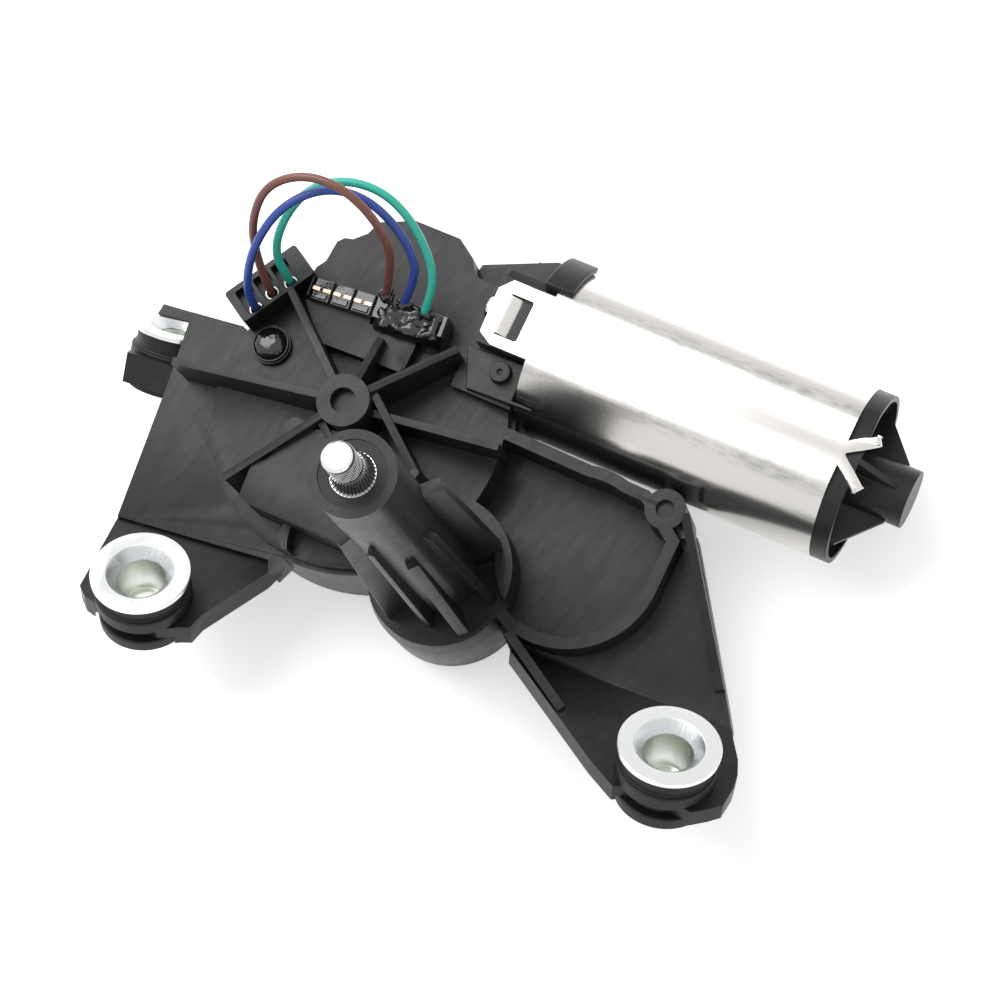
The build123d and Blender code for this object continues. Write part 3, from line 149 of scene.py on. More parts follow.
def colour_between(tree, mask, low, high, shader):
    mix = tree.nodes.new("ShaderNodeMix")
    mix.data_type = "RGBA"
    mix.inputs["A"].default_value = (*low, 1)
    mix.inputs["B"].default_value = (*high, 1)
    linked(tree, mask, mix.inputs["Factor"])
    linked(tree, mix.outputs["Result"], shader.inputs["Base Color"])


def range_between(tree, mask, low, high, target):
    spread = tree.nodes.new("ShaderNodeMapRange")
    spread.inputs["To Min"].default_value = low
    spread.inputs["To Max"].default_value = high
    linked(tree, mask, spread.inputs["Value"])
    linked(tree, spread.outputs["Result"], target)


def grained(tree, shader, scale, strength, distance=0.0001, detail=3.0):
    grain = placed(tree, skin_grain, Scale=scale, Detail=detail)
    bump = tree.nodes.new("ShaderNodeBump")
    bump.inputs["Strength"].default_value = strength
    bump.inputs["Distance"].default_value = distance
    linked(tree, grain.outputs["Height"], bump.inputs["Height"])
    linked(tree, bump.outputs["Normal"], shader.inputs["Normal"])
    return grain


flow_turn = radians(-75)
flow_width = 520.0
flow_length = 130.0
flow_patch = 70.0
mould_grain = 2600.0
mould_grain_strength = 0.25
gloss_spread = 0.05
nylon_specular = 0.32


def nylon(name, low, high, roughness):
    material, tree, shader = new_material(name, roughness)
    streaks = placed(tree, flow_streaks, Turn=flow_turn, Width=flow_width, Length=flow_length,
                     Patch=flow_patch)
    colour_between(tree, streaks.outputs["Mask"], low, high, shader)
    range_between(tree, streaks.outputs["Mask"], roughness + gloss_spread, roughness - gloss_spread,
                  shader.inputs["Roughness"])
    grained(tree, shader, mould_grain, mould_grain_strength)
    shader.inputs["Specular IOR Level"].default_value = nylon_specular
    return material


def dress(node, material):
    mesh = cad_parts[node].data
    mesh.materials.clear()
    mesh.materials.append(material)


def add_piece(name, mesh, body, node=None):
    piece = bpy.data.objects.new(name, mesh)
    bpy.context.scene.collection.objects.link(piece)
    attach(piece, body)
    if node:
        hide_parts(node)
    return piece


weld_distance = 2e-6
flat_angle = radians(0.6)


def softened(node, name, body, width, material, angle=38.0, segments=2, reshape=None):
    # A merged copy of a moulded or pressed piece, with its corners rounded by a small bevel.
    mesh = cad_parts[node].data.copy()
    mesh.name = name
    edit = bmesh.new()
    edit.from_mesh(mesh)
    bmesh.ops.remove_doubles(edit, verts=edit.verts, dist=weld_distance)
    bmesh.ops.dissolve_limit(edit, angle_limit=flat_angle, verts=edit.verts, edges=edit.edges)
    if reshape:
        reshape(edit)
    edit.to_mesh(mesh)
    edit.free()
    mesh.materials.clear()
    mesh.materials.append(material)
    for polygon in mesh.polygons:
        polygon.use_smooth = True
    mesh.set_sharp_from_angle(angle=radians(angle))
    piece = add_piece(name, mesh, body, node)
    bevel = piece.modifiers.new("corner", "BEVEL")
    bevel.width = width
    bevel.segments = segments
    bevel.limit_method = "ANGLE"
    bevel.angle_limit = radians(angle)
    bevel.harden_normals = True
    return piece


housing_corner = 0.0007
housing_black = (0.008, 0.0078, 0.008)
housing_streak = (0.020, 0.0194, 0.0192)
housing_nylon = nylon("housing_nylon", housing_black, housing_streak, 0.36)
housing = softened("gear_housing", "housing_moulding", "housing", housing_corner, housing_nylon, segments=3)

# Bottom cover: a flat lid of black nylon under the gear train, moulded in one piece.
# Four zinc-plated screws from below hold it to the housing.
small_corner = 0.0003
dark_nylon = nylon("dark_nylon", (0.008, 0.008, 0.009), (0.016, 0.016, 0.017), 0.38)
softened("bottom_cover", "cover_plate", "housing", small_corner, dark_nylon)
stain_scale = 45.0
stain_detail = 5.0
stain_shade = 0.88


def plated(name, colour, roughness, scale=1800.0, strength=0.12):
    # Metal with a fine grain, and with cloudy stains that are a little darker and duller.
    material, tree, shader = new_material(name, roughness, metallic=1.0)
    grained(tree, shader, scale, strength)
    stain = tree.nodes.new("ShaderNodeTexNoise")
    stain.inputs["Scale"].default_value = stain_scale
    stain.inputs["Detail"].default_value = stain_detail
    place = tree.nodes.new("ShaderNodeTexCoord")
    linked(tree, place.outputs["Object"], stain.inputs["Vector"])
    colour_between(tree, stain.outputs["Fac"], tuple(stain_shade * part for part in colour), colour, shader)
    range_between(tree, stain.outputs["Fac"], roughness + 0.07, roughness - 0.05, shader.inputs["Roughness"])
    return material


zinc_plate = plated("zinc_plate", (0.86, 0.88, 0.87), 0.2)
dress("cover_screws", zinc_plate)

# Gear train: an acetal worm wheel with a copper contact disc turns on a steel axle inside the housing.
# The crank, rod, lever and armature are machined or pressed steel, and the windings are bare copper.
acetal, tree, shader = new_material("acetal", 0.35)
grain = grained(tree, shader, 900.0, 0.15)
colour_between(tree, grain.outputs["Height"], (0.70, 0.67, 0.58), (0.80, 0.78, 0.70), shader)
dress("worm_wheel", acetal)
copper = plated("bare_copper", (0.85, 0.48, 0.32), 0.3)
bare_steel = plated("bare_steel", (0.62, 0.62, 0.62), 0.3)
for node in ("contact_disc", "park_contacts", "armature_windings", "commutator", "strip_terminals"):
    dress(node, copper)
for node in ("wheel_axle", "crank_pin", "link_rod", "output_lever", "lever_pin", "shaft_circlip",
             "armature_shaft", "lamination_core", "brush_springs"):
    dress(node, bare_steel)

# Output shaft: ground steel with a knurled cone and an M8 thread, rolled in one piece with the bar.
# The cone's teeth lean a little, and the thread's end is faced white by the tool.


def turned(name, rings, around, material):
    # Rings from bottom to top, each a height and a radius that may vary with the angle, between two poles.
    vertices = [(0, 0, rings[0][0])]
    for height, radius in rings:
        for step in range(around):
            angle = tau * step / around
            reach = radius(angle) if callable(radius) else radius
            vertices.append((reach * cos(angle), reach * sin(angle), height))
    vertices.append((0, 0, rings[-1][0]))
    faces = []
    top_ring = 1 + (len(rings) - 1) * around
    for step in range(around):
        after = (step + 1) % around
        faces.append((0, 1 + after, 1 + step))
        for low in range(1, top_ring, around):
            high = low + around
            faces.append((low + step, low + after, high + after, high + step))
        faces.append((top_ring + step, top_ring + after, len(vertices) - 1))
    mesh = bpy.data.meshes.new(name)
    mesh.from_pydata(vertices, [], faces)
    mesh.materials.append(material)
    for polygon in mesh.polygons:
        polygon.use_smooth = True
    mesh.set_sharp_from_angle(angle=radians(35))
    return mesh


shaft_r = 0.0055
shaft_foot = -0.1195
shaft_top = 0.0092
shaft_facets = 56
relief_r = 0.005
relief_low = -0.01
relief_high = -0.0089
cone_height = 0.0065
cone_top_r = 0.0042
tooth_depth = 0.00035
thread_r = 0.00397
thread_depth = 0.00062
thread_pitch = 0.00125
thread_start = 0.0003
thread_end = 0.0083
thread_steps = 56
tip_step = 0.0005
tip_height = 0.0003


def thread_radius(height):
    def radius(angle):
        turn = (height / thread_pitch - angle / tau) % 1.0
        return thread_r - thread_depth * min(1.0, 1.25 * (1 - abs(2 * turn - 1)))
    return radius


shaft_rings = [(shaft_foot, shaft_r), (relief_low, shaft_r), (relief_low, relief_r), (relief_high, relief_r),
               (relief_high, shaft_r), (-cone_height, shaft_r), (-cone_height, shaft_r - tooth_depth),
               (0, cone_top_r - tooth_depth), (0, thread_r - thread_depth)]
thread_heights = [thread_start + (thread_end - thread_start) * step / thread_steps
                  for step in range(thread_steps + 1)]
shaft_rings += [(height, thread_radius(height)) for height in thread_heights]
shaft_rings += [(thread_end + tip_height, thread_r - tip_step), (shaft_top, thread_r - 2 * tip_step)]


def valley_steel():
    # Ground steel, with painted shade that darkens the valleys of the thread and the gaps between the cone's
    # teeth.
    material, tree, shader = new_material("ground_steel", 0.22, metallic=1.0)
    grained(tree, shader, 1800.0, 0.12)
    place = tree.nodes.new("ShaderNodeTexCoord")
    parts = tree.nodes.new("ShaderNodeSeparateXYZ")
    linked(tree, place.outputs["Object"], parts.inputs["Vector"])
    flat = tree.nodes.new("ShaderNodeCombineXYZ")
    linked(tree, parts.outputs["X"], flat.inputs["X"])
    linked(tree, parts.outputs["Y"], flat.inputs["Y"])
    reach = tree.nodes.new("ShaderNodeVectorMath")
    reach.operation = "LENGTH"
    linked(tree, flat.outputs["Vector"], reach.inputs[0])
    crest = tree.nodes.new("ShaderNodeMapRange")
    for label, number in (("From Min", -cone_height), ("From Max", 0.0), ("To Min", shaft_r - 0.0001),
                          ("To Max", cone_top_r - 0.0001)):
        crest.inputs[label].default_value = number
    linked(tree, parts.outputs["Z"], crest.inputs["Value"])
    depth = tree.nodes.new("ShaderNodeMath")
    depth.operation = "SUBTRACT"
    linked(tree, reach.outputs["Value"], depth.inputs[0])
    linked(tree, crest.outputs["Result"], depth.inputs[1])
    # Painted shade: the valleys and the gaps between the teeth are coloured dark, and the crests keep the
    # steel's colour.
    valley_shade_mask = tree.nodes.new("ShaderNodeMapRange")
    valley_shade_mask.inputs["From Min"].default_value = -0.0004
    valley_shade_mask.inputs["From Max"].default_value = -0.0001
    linked(tree, depth.outputs["Value"], valley_shade_mask.inputs["Value"])
    colour_between(tree, valley_shade_mask.outputs["Result"], (0.06, 0.06, 0.058), (0.74, 0.74, 0.73), shader)
    return material


ground_steel = valley_steel()
shaft_mesh = turned("arm_shaft", shaft_rings, shaft_facets, ground_steel)
shaft_mesh.materials.append(zinc_plate)
for polygon in shaft_mesh.polygons:
    if polygon.center.z > thread_end + tip_height / 3:
        polygon.material_index = 1
add_piece("arm_shaft", shaft_mesh, "output", "output_shaft")


def repeat_tree():
    # Copies of one shape, each turned about the vertical and moved by one more step than the last.
    tree = bpy.data.node_groups.new("repeated", "GeometryNodeTree")
    tree.interface.new_socket("Geometry", in_out="INPUT", socket_type="NodeSocketGeometry")
    for label, kind in (("Count", "NodeSocketInt"), ("Turn", "NodeSocketFloat"), ("Step", "NodeSocketVector"),
                        ("Material", "NodeSocketMaterial")):
        tree.interface.new_socket(label, in_out="INPUT", socket_type=kind)
    tree.interface.new_socket("Geometry", in_out="OUTPUT", socket_type="NodeSocketGeometry")
    given, result = tree.nodes.new("NodeGroupInput"), tree.nodes.new("NodeGroupOutput")
    index = tree.nodes.new("GeometryNodeInputIndex")
    place = tree.nodes.new("ShaderNodeVectorMath")
    place.operation = "SCALE"
    linked(tree, given.outputs["Step"], place.inputs[0])
    linked(tree, index.outputs["Index"], place.inputs["Scale"])
    turn = tree.nodes.new("ShaderNodeMath")
    turn.operation = "MULTIPLY"
    linked(tree, given.outputs["Turn"], turn.inputs[0])
    linked(tree, index.outputs["Index"], turn.inputs[1])
    upright = tree.nodes.new("ShaderNodeCombineXYZ")
    linked(tree, turn.outputs["Value"], upright.inputs["Z"])
    points = tree.nodes.new("GeometryNodePoints")
    linked(tree, given.outputs["Count"], points.inputs["Count"])
    linked(tree, place.outputs["Vector"], points.inputs["Position"])
    copies = tree.nodes.new("GeometryNodeInstanceOnPoints")
    linked(tree, points.outputs["Points"], copies.inputs["Points"])
    linked(tree, given.outputs["Geometry"], copies.inputs["Instance"])
    linked(tree, upright.outputs["Vector"], copies.inputs["Rotation"])
    real = tree.nodes.new("GeometryNodeRealizeInstances")
    linked(tree, copies.outputs["Instances"], real.inputs["Geometry"])
    coat = tree.nodes.new("GeometryNodeSetMaterial")
    linked(tree, real.outputs["Geometry"], coat.inputs["Geometry"])
    linked(tree, given.outputs["Material"], coat.inputs["Material"])
    linked(tree, coat.outputs["Geometry"], result.inputs["Geometry"])
    return tree


repeated_tree = repeat_tree()


def repeated(name, vertices, faces, count, turn, step, material, body):
    mesh = bpy.data.meshes.new(name + "_one")
    mesh.from_pydata(vertices, [], faces)
    source = bpy.data.objects.new(name + "_one", mesh)
    bpy.context.scene.collection.objects.link(source)
    pattern = source.modifiers.new("pattern", "NODES")
    pattern.node_group = repeated_tree
    values = {"Count": count, "Turn": turn, "Step": step, "Material": material}
    for item in repeated_tree.interface.items_tree:
        if item.in_out == "INPUT" and item.name in values:
            pattern[item.identifier] = values[item.name]
    depsgraph = bpy.context.evaluated_depsgraph_get()
    whole = bpy.data.meshes.new_from_object(source.evaluated_get(depsgraph))
    whole.name = name
    bpy.data.objects.remove(source)
    add_piece(name, whole, body)


def prism(low, high):
    # Two outlines of equal length, joined by side faces and closed by both ends.
    count = len(low)
    faces = [tuple(reversed(range(count))), tuple(range(count, 2 * count))]
    faces += [(k, (k + 1) % count, count + (k + 1) % count, count + k) for k in range(count)]
    return low + high, faces


def tooth_end(height, crest, half, lean):
    root = crest - tooth_depth - 0.0001
    return [(radius * cos(lean + side / radius), radius * sin(lean + side / radius), height)
            for radius, side in ((root, -half), (crest, 0.0), (root, half))]


tooth_count = 36
tooth_lean = radians(16)
tooth, tooth_faces = prism(tooth_end(-cone_height + 0.0001, shaft_r, 0.00045, 0.0),
                           tooth_end(-0.0001, cone_top_r, 0.00035, tooth_lean))
repeated("cone_knurl", tooth, tooth_faces, tooth_count, tau / tooth_count, (0, 0, 0), ground_steel, "output")

# Bushes and bearings: rings of oil-filled sintered bronze, pressed into the tower and the motor's ends.
# Their pores leave a coarse, dull skin.
sintered_bronze = plated("sintered_bronze", (0.55, 0.40, 0.22), 0.45, 2400.0, 0.5)
for node in ("tower_bush_upper", "tower_bush_lower", "front_bearing", "rear_bearing"):
    dress(node, sintered_bronze)

# Motor can: deep-drawn steel with a satin tin plate, flat on two sides.
# Its tongue runs over the adapter and is held by a small screw, and a forked tab is bent over the end cap.
can_axis = (0.06722, -0.1115)
can_r = 0.0235
can_flat = 0.0212
can_wall = 0.0015
can_start = 0.001
can_end = 0.086
shoulder = 0.0016
shoulder_cuts = (0.0045, 0.0033, 0.0022, 0.0012)
shoulder_reach = can_r - 0.004
prong_depth = 0.003
prong_corner = 0.0006


def rounded_shoulders(edit):
    # The press leaves no corner where a flat meets the round side: both skins run into each other over a few
    # millimetres, so the flats get cuts along their edges and the corner is drawn in.
    for side in (-1, 1):
        for inset in shoulder_cuts:
            cut = edit.verts[:] + edit.edges[:] + edit.faces[:]
            place = (0, can_axis[0] + side * (bend_edge - inset), 0)
            bmesh.ops.bisect_plane(edit, geom=cut, dist=1e-6, plane_co=place, plane_no=(0, 1, 0))
    for vertex in edit.verts:
        across, rise = abs(vertex.co.y - can_axis[0]), vertex.co.z - can_axis[1]
        if vertex.co.x < can_start + 0.001 or across > shoulder_reach:
            continue
        for radius, flat in ((can_r, can_flat), (can_r - can_wall, can_flat - can_wall)):
            arc = sqrt(max(radius**2 - across**2, 0.0))
            if abs(abs(rise) - min(arc, flat)) < 0.0002:
                blend = max(0.0, 1 - abs(arc - flat) / shoulder)
                vertex.co.z -= (1 if rise > 0 else -1) * blend**2 * shoulder / 4
                break
    prong_low = can_axis[1] + can_flat - prong_depth
    prongs = [edge for edge in edit.edges
              if all(vertex.co.x > can_end + 0.0003 and vertex.co.z > prong_low for vertex in edge.verts)]
    bmesh.ops.bevel(edit, geom=prongs, offset=prong_corner, segments=3, affect="EDGES", profile=0.5)


band_core = 0.0005
band_reach = 0.0042
band_dulling = 0.22


def bend_shaded_plate(name, colour, bend_shade, roughness):
    # Along each bend a grainy band fades to both sides: there the plate is rougher, and painted shade makes
    # it darker, standing in for a dimmer reflection.
    material, tree, shader = new_material(name, roughness, metallic=1.0)
    grained(tree, shader, 1500.0, 0.1)
    place = tree.nodes.new("ShaderNodeTexCoord")
    parts = tree.nodes.new("ShaderNodeSeparateXYZ")
    linked(tree, place.outputs["Object"], parts.inputs["Vector"])
    value = parts.outputs["Y"]
    for operation, operand in (("SUBTRACT", can_axis[0]), ("ABSOLUTE", 0.0), ("SUBTRACT", bend_edge),
                               ("ABSOLUTE", 0.0)):
        step = tree.nodes.new("ShaderNodeMath")
        step.operation = operation
        step.inputs[1].default_value = operand
        linked(tree, value, step.inputs[0])
        value = step.outputs["Value"]
    band = tree.nodes.new("ShaderNodeMapRange")
    band.interpolation_type = "SMOOTHSTEP"
    for label, number in (("From Min", band_core), ("From Max", band_reach), ("To Min", 1.0),
                          ("To Max", 0.0)):
        band.inputs[label].default_value = number
    linked(tree, value, band.inputs["Value"])
    speck = placed(tree, flow_streaks, Turn=0.0, Width=900.0, Length=260.0, Patch=60.0)
    mask = tree.nodes.new("ShaderNodeMath")
    mask.operation = "MULTIPLY"
    linked(tree, band.outputs["Result"], mask.inputs[0])
    linked(tree, speck.outputs["Mask"], mask.inputs[1])
    # Painted shade: the band's colour goes dark along each bend, and its roughness rises.
    colour_between(tree, mask.outputs["Value"], colour, bend_shade, shader)
    range_between(tree, mask.outputs["Value"], roughness, roughness + band_dulling,
                  shader.inputs["Roughness"])
    return material


bend_edge = sqrt(can_r**2 - can_flat**2)
can_plate = bend_shaded_plate("can_plate", (0.72, 0.70, 0.67), (0.30, 0.30, 0.29), 0.2)
softened("motor_can", "can_shell", "housing", small_corner, can_plate, angle=42.0,
         reshape=rounded_shoulders)

# Window tab: a strip cut free inside the tongue's window, in the can's own steel.
# It is bent down in a round curve, and grips the adapter.
tab_y = (0.0615, 0.0723)
tab_x = -0.0103
tab_top = -0.0904
tab_bend = 0.0046
tab_thickness = 0.0008
tab_angles = [radians(5 * step) for step in range(14)]


def tab_line(y):
    inner_bend = tab_bend - tab_thickness
    middle = tab_top - tab_bend
    outer = [(tab_x + tab_bend * sin(angle), middle + tab_bend * cos(angle)) for angle in tab_angles]
    inner = [(tab_x + inner_bend * sin(angle), middle + inner_bend * cos(angle))
             for angle in reversed(tab_angles)]
    return [(x, y, z) for x, z in outer + inner]


tab, tab_faces = prism(tab_line(tab_y[0]), tab_line(tab_y[1]))
tab_mesh = bpy.data.meshes.new("window_tab")
tab_mesh.from_pydata(tab, [], tab_faces)
tab_mesh.materials.append(can_plate)
for polygon in tab_mesh.polygons:
    polygon.use_smooth = len(polygon.vertices) == 4
tab_mesh.set_sharp_from_angle(angle=radians(35))
add_piece("window_tab", tab_mesh, "housing")
screw_corner = 0.0008
softened("can_screw", "tongue_screw", "housing", screw_corner, zinc_plate)

# Collar, clamp and end cap of the motor: smooth black nylon mouldings with soft corners.
# The collar holds the can's mouth, the clamp is riveted to the housing, and the cap carries the rear bearing.
satin_nylon = nylon("satin_nylon", (0.008, 0.008, 0.0085), (0.014, 0.014, 0.0145), 0.34)
collar_corner = 0.0006
clamp_corner = 0.0004
softened("motor_collar", "can_collar", "housing", collar_corner, satin_nylon, segments=3)
softened("clamp_plate", "can_clamp", "housing", clamp_corner, satin_nylon, segments=3)
softened("end_cap", "can_end_cap", "housing", clamp_corner, satin_nylon)
dress("brush_holder", dark_nylon)

# Magnets and brushes: two arcs of ground ferrite glued into the can, and pressed carbon in the holder.
# Both are dark and dull, with a fine grain.
ferrite, tree, shader = new_material("ferrite", 0.6)
grain = grained(tree, shader, 1200.0, 0.4)
colour_between(tree, grain.outputs["Height"], (0.06, 0.06, 0.065), (0.1, 0.1, 0.105), shader)
dress("motor_magnets", ferrite)
dress("carbon_brushes", ferrite)

# Rubber mounts: black moulded grommets clipped into the ears, each with a zinc-plated flanged sleeve.
# The press leaves the sleeve's funnel rough, and its tube keeps a yellowish passivated plate.
rubber, tree, shader = new_material("moulded_rubber", 0.5)
grain = grained(tree, shader, 1600.0, 0.2)
colour_between(tree, grain.outputs["Height"], (0.006, 0.006, 0.007), (0.012, 0.012, 0.0135), shader)
rubber_specular = 0.35
shader.inputs["Specular IOR Level"].default_value = rubber_specular
dress("shaft_seal", rubber)
pressed_zinc = plated("pressed_zinc", (0.68, 0.70, 0.71), 0.34, 1300.0, 0.8)
passivated_tube = plated("passivated_tube", (0.74, 0.77, 0.71), 0.32, 900.0, 0.3)
seats = {"left": (-0.0666, -0.0336, -0.0868, 27.4, -2.8), "right": (0.0773, -0.0179, -0.0908, 35.2, -2.3),
         "upper": (-0.1003, 0.0354, -0.118, 60.0, -5.0)}
funnel_r = 0.0089
funnel_depth = 0.0035
flange_skin = 0.0002
rubber_corner = 0.0005
flange_corner = 0.00025
for side, (x, y, z, tilt, lean) in seats.items():
    softened("grommet_" + side, "rubber_" + side, "housing", rubber_corner, rubber, segments=3)
    washer = softened("sleeve_" + side, "flanged_sleeve_" + side, "housing", flange_corner, zinc_plate)
    washer.data.materials.append(pressed_zinc)
    washer.data.materials.append(passivated_tube)
    tilt, lean = radians(tilt), radians(lean)
    axis = Vector((sin(lean), cos(lean) * sin(tilt), cos(lean) * cos(tilt)))
    for polygon in washer.data.polygons:
        offset = polygon.center - Vector((x, y, z))
        depth = -offset.dot(axis)
        reach = (offset + depth * axis).length
        if depth > flange_skin and reach < funnel_r:
            polygon.material_index = 1 if depth < funnel_depth else 2

# Sealed screw: a moulded cup on the disc round the head of a housing screw.
# It is filled over the head with a glossy black compound, which set in a lumpy dome.
sealant, tree, shader = new_material("sealant", 0.08, coat=0.6)
grain = grained(tree, shader, 260.0, 0.5, 0.0006)
colour_between(tree, grain.outputs["Height"], (0.004, 0.004, 0.005), (0.012, 0.012, 0.013), shader)
cup = (-0.0675, 0.0372, -0.1004)
cup_outer = 0.0050
cup_inner = 0.0044
cup_rise = 0.0008
cup_round = 0.0002
head_r = 0.0045
head_rise = 0.0022
head_unevenness = 0.12


def moved(mesh, place):
    mesh.transform(Matrix.Translation(place))
    return mesh


def lump(name, place, radius, rise, unevenness, material):
    # A set drop: low and round, with a skin that runs in and out a little.
    rings = []
    rows = 13
    for row in range(rows):
        slope = pi / 2 * row / (rows - 0.5)
        height = rise * sin(slope)

        def reach(angle, slope=slope, height=height):
            spot = Vector((cos(angle) * cos(slope), sin(angle) * cos(slope), sin(slope) + place[0] * 300))
            return radius * cos(slope) * (1 + unevenness * noise.noise(spot * 2.2))
        rings.append((height, reach))
    return moved(turned(name, rings, 40, material), place)


rim_rings = [(0, cup_outer), (cup_rise - cup_round, cup_outer), (cup_rise, cup_outer - cup_round / 2),
             (cup_rise, cup_inner + cup_round), (cup_rise - cup_round, cup_inner + cup_round / 2),
             (0, cup_inner)]
add_piece("cup_rim", moved(turned("cup_rim", rim_rings, 48, housing_nylon), cup), "housing")
sealed_mesh = lump("sealed_head", cup, head_r, head_rise, head_unevenness, sealant)
add_piece("sealed_head", sealed_mesh, "housing", "sealed_screw")

# Connector block: a black nylon moulding with three square sockets on top, each lined by a plated terminal.
# Its lower half is the plug's shroud, and the pins stand in it.
softened("connector_housing", "connector_block", "housing", small_corner, dark_nylon)
socket_plate = plated("socket_plate", (0.42, 0.42, 0.40), 0.4)
dress("connector_terminals", socket_plate)

# Terminal strip: a row of cells between thin partitions, with a copper tag in each, under glossy compound.
# The wires are soldered to it, and every joint is covered by its own drop of compound.
strip_place = (-0.043, 0.05675, -0.095)
strip_turn = radians(5.5)
on_strip = Matrix.Translation(strip_place) @ Matrix.Rotation(strip_turn, 4, "Z")
softened("terminal_strip", "strip_body", "housing", small_corner, sealant)


def strip_box(x0, x1, y0, y1, low, high, taper):
    # A block on the strip, narrower at its top by the taper on each side.
    foot = [(x0, y0), (x1, y0), (x1, y1), (x0, y1)]
    x0, x1, y0, y1 = x0 + taper, x1 - taper, y0 + taper, y1 - taper
    top = [(x0, y0), (x1, y0), (x1, y1), (x0, y1)]
    return prism([tuple(on_strip @ Vector((x, y, low))) for x, y in foot],
                 [tuple(on_strip @ Vector((x, y, high))) for x, y in top])


def uneven_skin(name, middle, length, width, low, rise, material):
    # A pool of compound that set over the joints: steep rounded sides and a top that runs in lumps.
    columns, rows = 56, 30
    skin = bmesh.new()
    grid = []
    for row in range(rows + 1):
        line = []
        for column in range(columns + 1):
            u, v = 2 * column / columns - 1, 2 * row / rows - 1
            u, v = sin(u * pi / 2), sin(v * pi / 2)
            edge = max(0.0, 1 - abs(u)**8) * max(0.0, 1 - abs(v)**6)
            spot = Vector((middle[0] + u * length / 2, middle[1] + v * width / 2, 0))
            lumps = noise.noise(spot * 330 + Vector((3.1, 7.7, 0))) + 0.4 * noise.noise(spot * 800)
            spot.z = low + (rise + 0.0013 * lumps) * edge**0.35
            squeeze = 1 - 0.10 * (abs(u * v))**3
            spot.x = middle[0] + (spot.x - middle[0]) * squeeze
            spot.y = middle[1] + (spot.y - middle[1]) * squeeze
            line.append(skin.verts.new(on_strip @ spot))
        grid.append(line)
    for row in range(rows):
        for column in range(columns):
            skin.faces.new((grid[row][column], grid[row][column + 1],
                            grid[row + 1][column + 1], grid[row + 1][column]))
    right_side = [line[-1] for line in grid[1:]]
    left_side = [line[0] for line in grid[-2:0:-1]]
    border = grid[0] + right_side + grid[-1][-2::-1] + left_side
    skin.faces.new(list(reversed(border)))
    bmesh.ops.recalc_face_normals(skin, faces=skin.faces)
    mesh = bpy.data.meshes.new(name)
    skin.to_mesh(mesh)
    skin.free()
    mesh.materials.append(material)
    for polygon in mesh.polygons:
        polygon.use_smooth = len(polygon.vertices) == 4
    return mesh


pool_middle = (0.009, -0.001)
pool_length = 0.0205
pool_width = 0.0105
pool_low = -0.0069
pool_rise = 0.0078
pool = uneven_skin("joint_compound", pool_middle, pool_length, pool_width, pool_low, pool_rise, sealant)
add_piece("joint_compound", pool, "housing", "potting")
cell_pitch = 0.006
cell_count = 3
along_strip = (cell_pitch * cos(strip_turn), cell_pitch * sin(strip_turn), 0)
plate, plate_faces = strip_box(-0.0199, -0.0192, -0.0029, 0.0029, -0.0005, 0.0012, taper=0.0002)
repeated("strip_partitions", plate, plate_faces, cell_count + 1, 0.0, along_strip, dark_nylon, "housing")
pad, pad_faces = strip_box(-0.0189, -0.0142, -0.0028, -0.0007, -0.0003, 0.0005, taper=0.0004)
repeated("strip_cells", pad, pad_faces, cell_count, 0.0, along_strip, sealant, "housing")
drop_r = 0.0021
drop_rise = 0.0024
drop_unevenness = 0.5
drop_places = {"drop_brown": (-0.0423, 0.0606, -0.0945), "drop_blue": (-0.0365, 0.0602, -0.0945),
               "drop_green": (-0.0304, 0.0600, -0.0945)}
for name, place in drop_places.items():
    add_piece(name, lump(name, place, drop_r, drop_rise, drop_unevenness, sealant), "housing")

# Wires: three stranded leads in soft coloured insulation, looped from the connector to the terminal strip.
# Each was cut to its own length, pushed into its socket and soldered to its tag.
wire_diameter = 0.0023
wire_start = -0.0995
wire_foot = -0.0931
wires = [
    ("brown", 0.1071, (0.19, 0.075, 0.055), (0.15, 0.056, 0.042),
     [(-0.0719, 0.0493, wire_start), (-0.0719, 0.0493, -0.0920), (-0.0749, 0.0537, -0.0820),
      (-0.0764, 0.0595, -0.0710), (-0.0738, 0.0677, -0.0620), (-0.0644, 0.0733, -0.0580),
      (-0.0532, 0.0740, -0.0585), (-0.0446, 0.0714, -0.0650), (-0.0403, 0.0679, -0.0750),
      (-0.0406, 0.0636, -0.0845), (-0.0423, 0.0606, wire_foot)]),
    ("blue", 0.1035, (0.03, 0.075, 0.34), (0.02, 0.05, 0.26),
     [(-0.0739, 0.0436, wire_start), (-0.0739, 0.0436, -0.0920), (-0.0751, 0.0467, -0.0830),
      (-0.0733, 0.0547, -0.0720), (-0.0684, 0.0647, -0.0645), (-0.0600, 0.0731, -0.0630),
      (-0.0501, 0.0759, -0.0660), (-0.0404, 0.0734, -0.0725), (-0.0345, 0.0686, -0.0815),
      (-0.0349, 0.0639, -0.0880), (-0.0365, 0.0602, wire_foot)]),
    ("green", 0.0982, (0.04, 0.46, 0.35), (0.028, 0.36, 0.28),
     [(-0.0684, 0.0538, wire_start), (-0.0684, 0.0538, -0.0920), (-0.0718, 0.0571, -0.0830),
      (-0.0701, 0.0646, -0.0740), (-0.0651, 0.0730, -0.0680), (-0.0569, 0.0782, -0.0665),
      (-0.0467, 0.0797, -0.0685), (-0.0379, 0.0767, -0.0745), (-0.0306, 0.0699, -0.0830),
      (-0.0294, 0.0642, -0.0886), (-0.0304, 0.0600, wire_foot)])]


def insulation(name, light, dark):
    material, tree, shader = new_material(name, 0.36)
    grain = grained(tree, shader, 420.0, 0.18, 0.0002)
    colour_between(tree, grain.outputs["Height"], dark, light, shader)
    return material


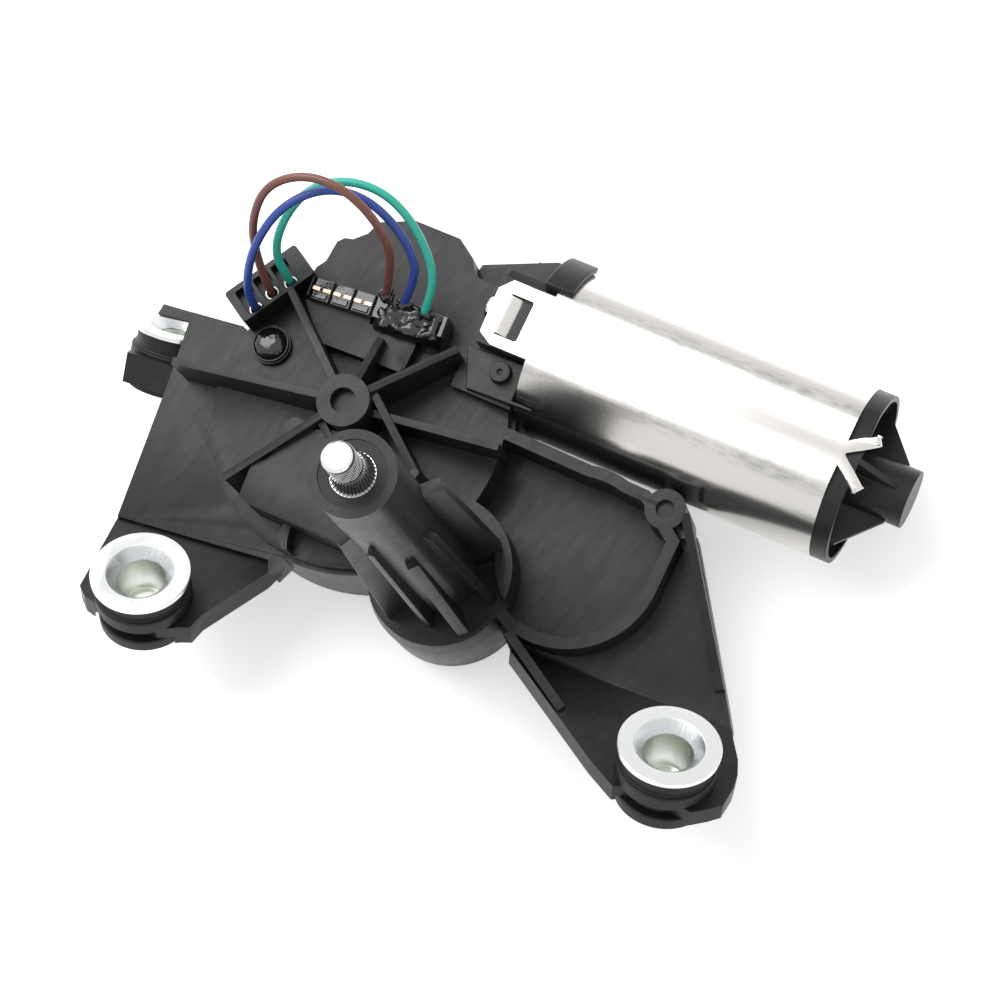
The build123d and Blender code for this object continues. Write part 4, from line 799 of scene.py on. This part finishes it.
for colour, length, light, dark, route in wires:
    curve = bpy.data.curves.new("wire_line_" + colour, "CURVE")
    curve.dimensions = "3D"
    curve.bevel_depth = wire_diameter / 2
    curve.bevel_resolution = 6
    curve.use_fill_caps = True
    spline = curve.splines.new("NURBS")
    spline.points.add(len(route) - 1)
    for point, place in zip(spline.points, route):
        point.co = (*place, 1)
    spline.order_u = 3
    spline.use_endpoint_u = True
    spline.resolution_u = 14
    curve.materials.append(insulation("insulation_" + colour, light, dark))
    lead = bpy.data.objects.new("lead_" + colour, curve)
    bpy.context.scene.collection.objects.link(lead)
    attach(lead, "housing")
    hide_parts("wire_" + colour)

# Table: a sheet of pale matt paper that keeps the part's shadow.
# Seen directly or in a mirror it glows a little, so that it runs into the white of the room.
table_reach = 1.6
table_drop = 0.0005
table_glow = 0.42
table_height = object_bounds()[0][2] - table_drop
table_corners = [(x, y, table_height) for x, y in ((-table_reach, -table_reach), (table_reach, -table_reach),
                                                   (table_reach, table_reach), (-table_reach, table_reach))]
table_mesh = bpy.data.meshes.new("table")
table_mesh.from_pydata(table_corners, [], [(0, 1, 2, 3)])
table = bpy.data.objects.new("table", table_mesh)
bpy.context.scene.collection.objects.link(table)


def seen_by(tree, rays):
    # 1 for rays of the named kinds and 0 for all others.
    light_path = tree.nodes.new("ShaderNodeLightPath")
    seen = light_path.outputs[rays[0]]
    for ray in rays[1:]:
        either = tree.nodes.new("ShaderNodeMath")
        either.operation = "MAXIMUM"
        linked(tree, seen, either.inputs[0])
        linked(tree, light_path.outputs[ray], either.inputs[1])
        seen = either.outputs["Value"]
    return seen


table_paper, tree, shader = new_material("table_paper", 0.9)
shader.inputs["Base Color"].default_value = (0.9, 0.9, 0.9, 1)
shader.inputs["Emission Color"].default_value = (1, 1, 1, 1)
range_between(tree, seen_by(tree, ("Is Camera Ray", "Is Glossy Ray")), 0.0, table_glow,
              shader.inputs["Emission Strength"])
table_mesh.materials.append(table_paper)

# Room and lamp: even white light from all round, and one broad soft lamp up to the left of the part.
# The room looks white wherever it is seen, and lights the part at a plain level.
room_light = 0.72
world = bpy.data.worlds.new("studio")
world.use_nodes = True
bpy.context.scene.world = world
tree = world.node_tree
background = tree.nodes["Background"]
background.inputs["Color"].default_value = (1, 1, 1, 1)
range_between(tree, seen_by(tree, ("Is Camera Ray", "Is Glossy Ray", "Is Transmission Ray")), room_light, 1.0,
              background.inputs["Strength"])


def lamp(name, place, aim, size, power):
    data = bpy.data.lights.new(name, "AREA")
    data.shape = "RECTANGLE"
    data.size, data.size_y = size
    data.energy = power
    light = bpy.data.objects.new(name, data)
    light.location = place
    light.rotation_euler = (Vector(aim) - Vector(place)).to_track_quat("-Z", "Y").to_euler()
    bpy.context.scene.collection.objects.link(light)


lamp("overhead", place=(-0.54, 0.28, 0.68), aim=(-0.02, 0.03, -0.1), size=(0.8, 0.9), power=8.5)

# Camera: above the part and in front of it, with a long lens, so that the tower leans towards the viewer.
# Its place and its three directions were solved from the shaft, the can, the hub and the washers.
camera_data = bpy.data.cameras.new("view")
camera_data.lens = 97.2
camera_data.sensor_width = 36.0
camera_data.clip_end = 10
camera_place = (0.18868, -0.08468, 0.56833)
camera_right = (0.8874, 0.4283, -0.1703)
camera_up = (-0.3824, 0.8905, 0.2466)
camera_back = (0.2573, -0.1537, 0.954)
view = bpy.data.objects.new("view", camera_data)
camera_turn = Matrix((camera_right, camera_up, camera_back)).transposed()
view.matrix_world = Matrix.Translation(camera_place) @ camera_turn.to_4x4()
bpy.context.scene.collection.objects.link(view)
bpy.context.scene.camera = view
bpy.context.scene.view_settings.view_transform = "Standard"
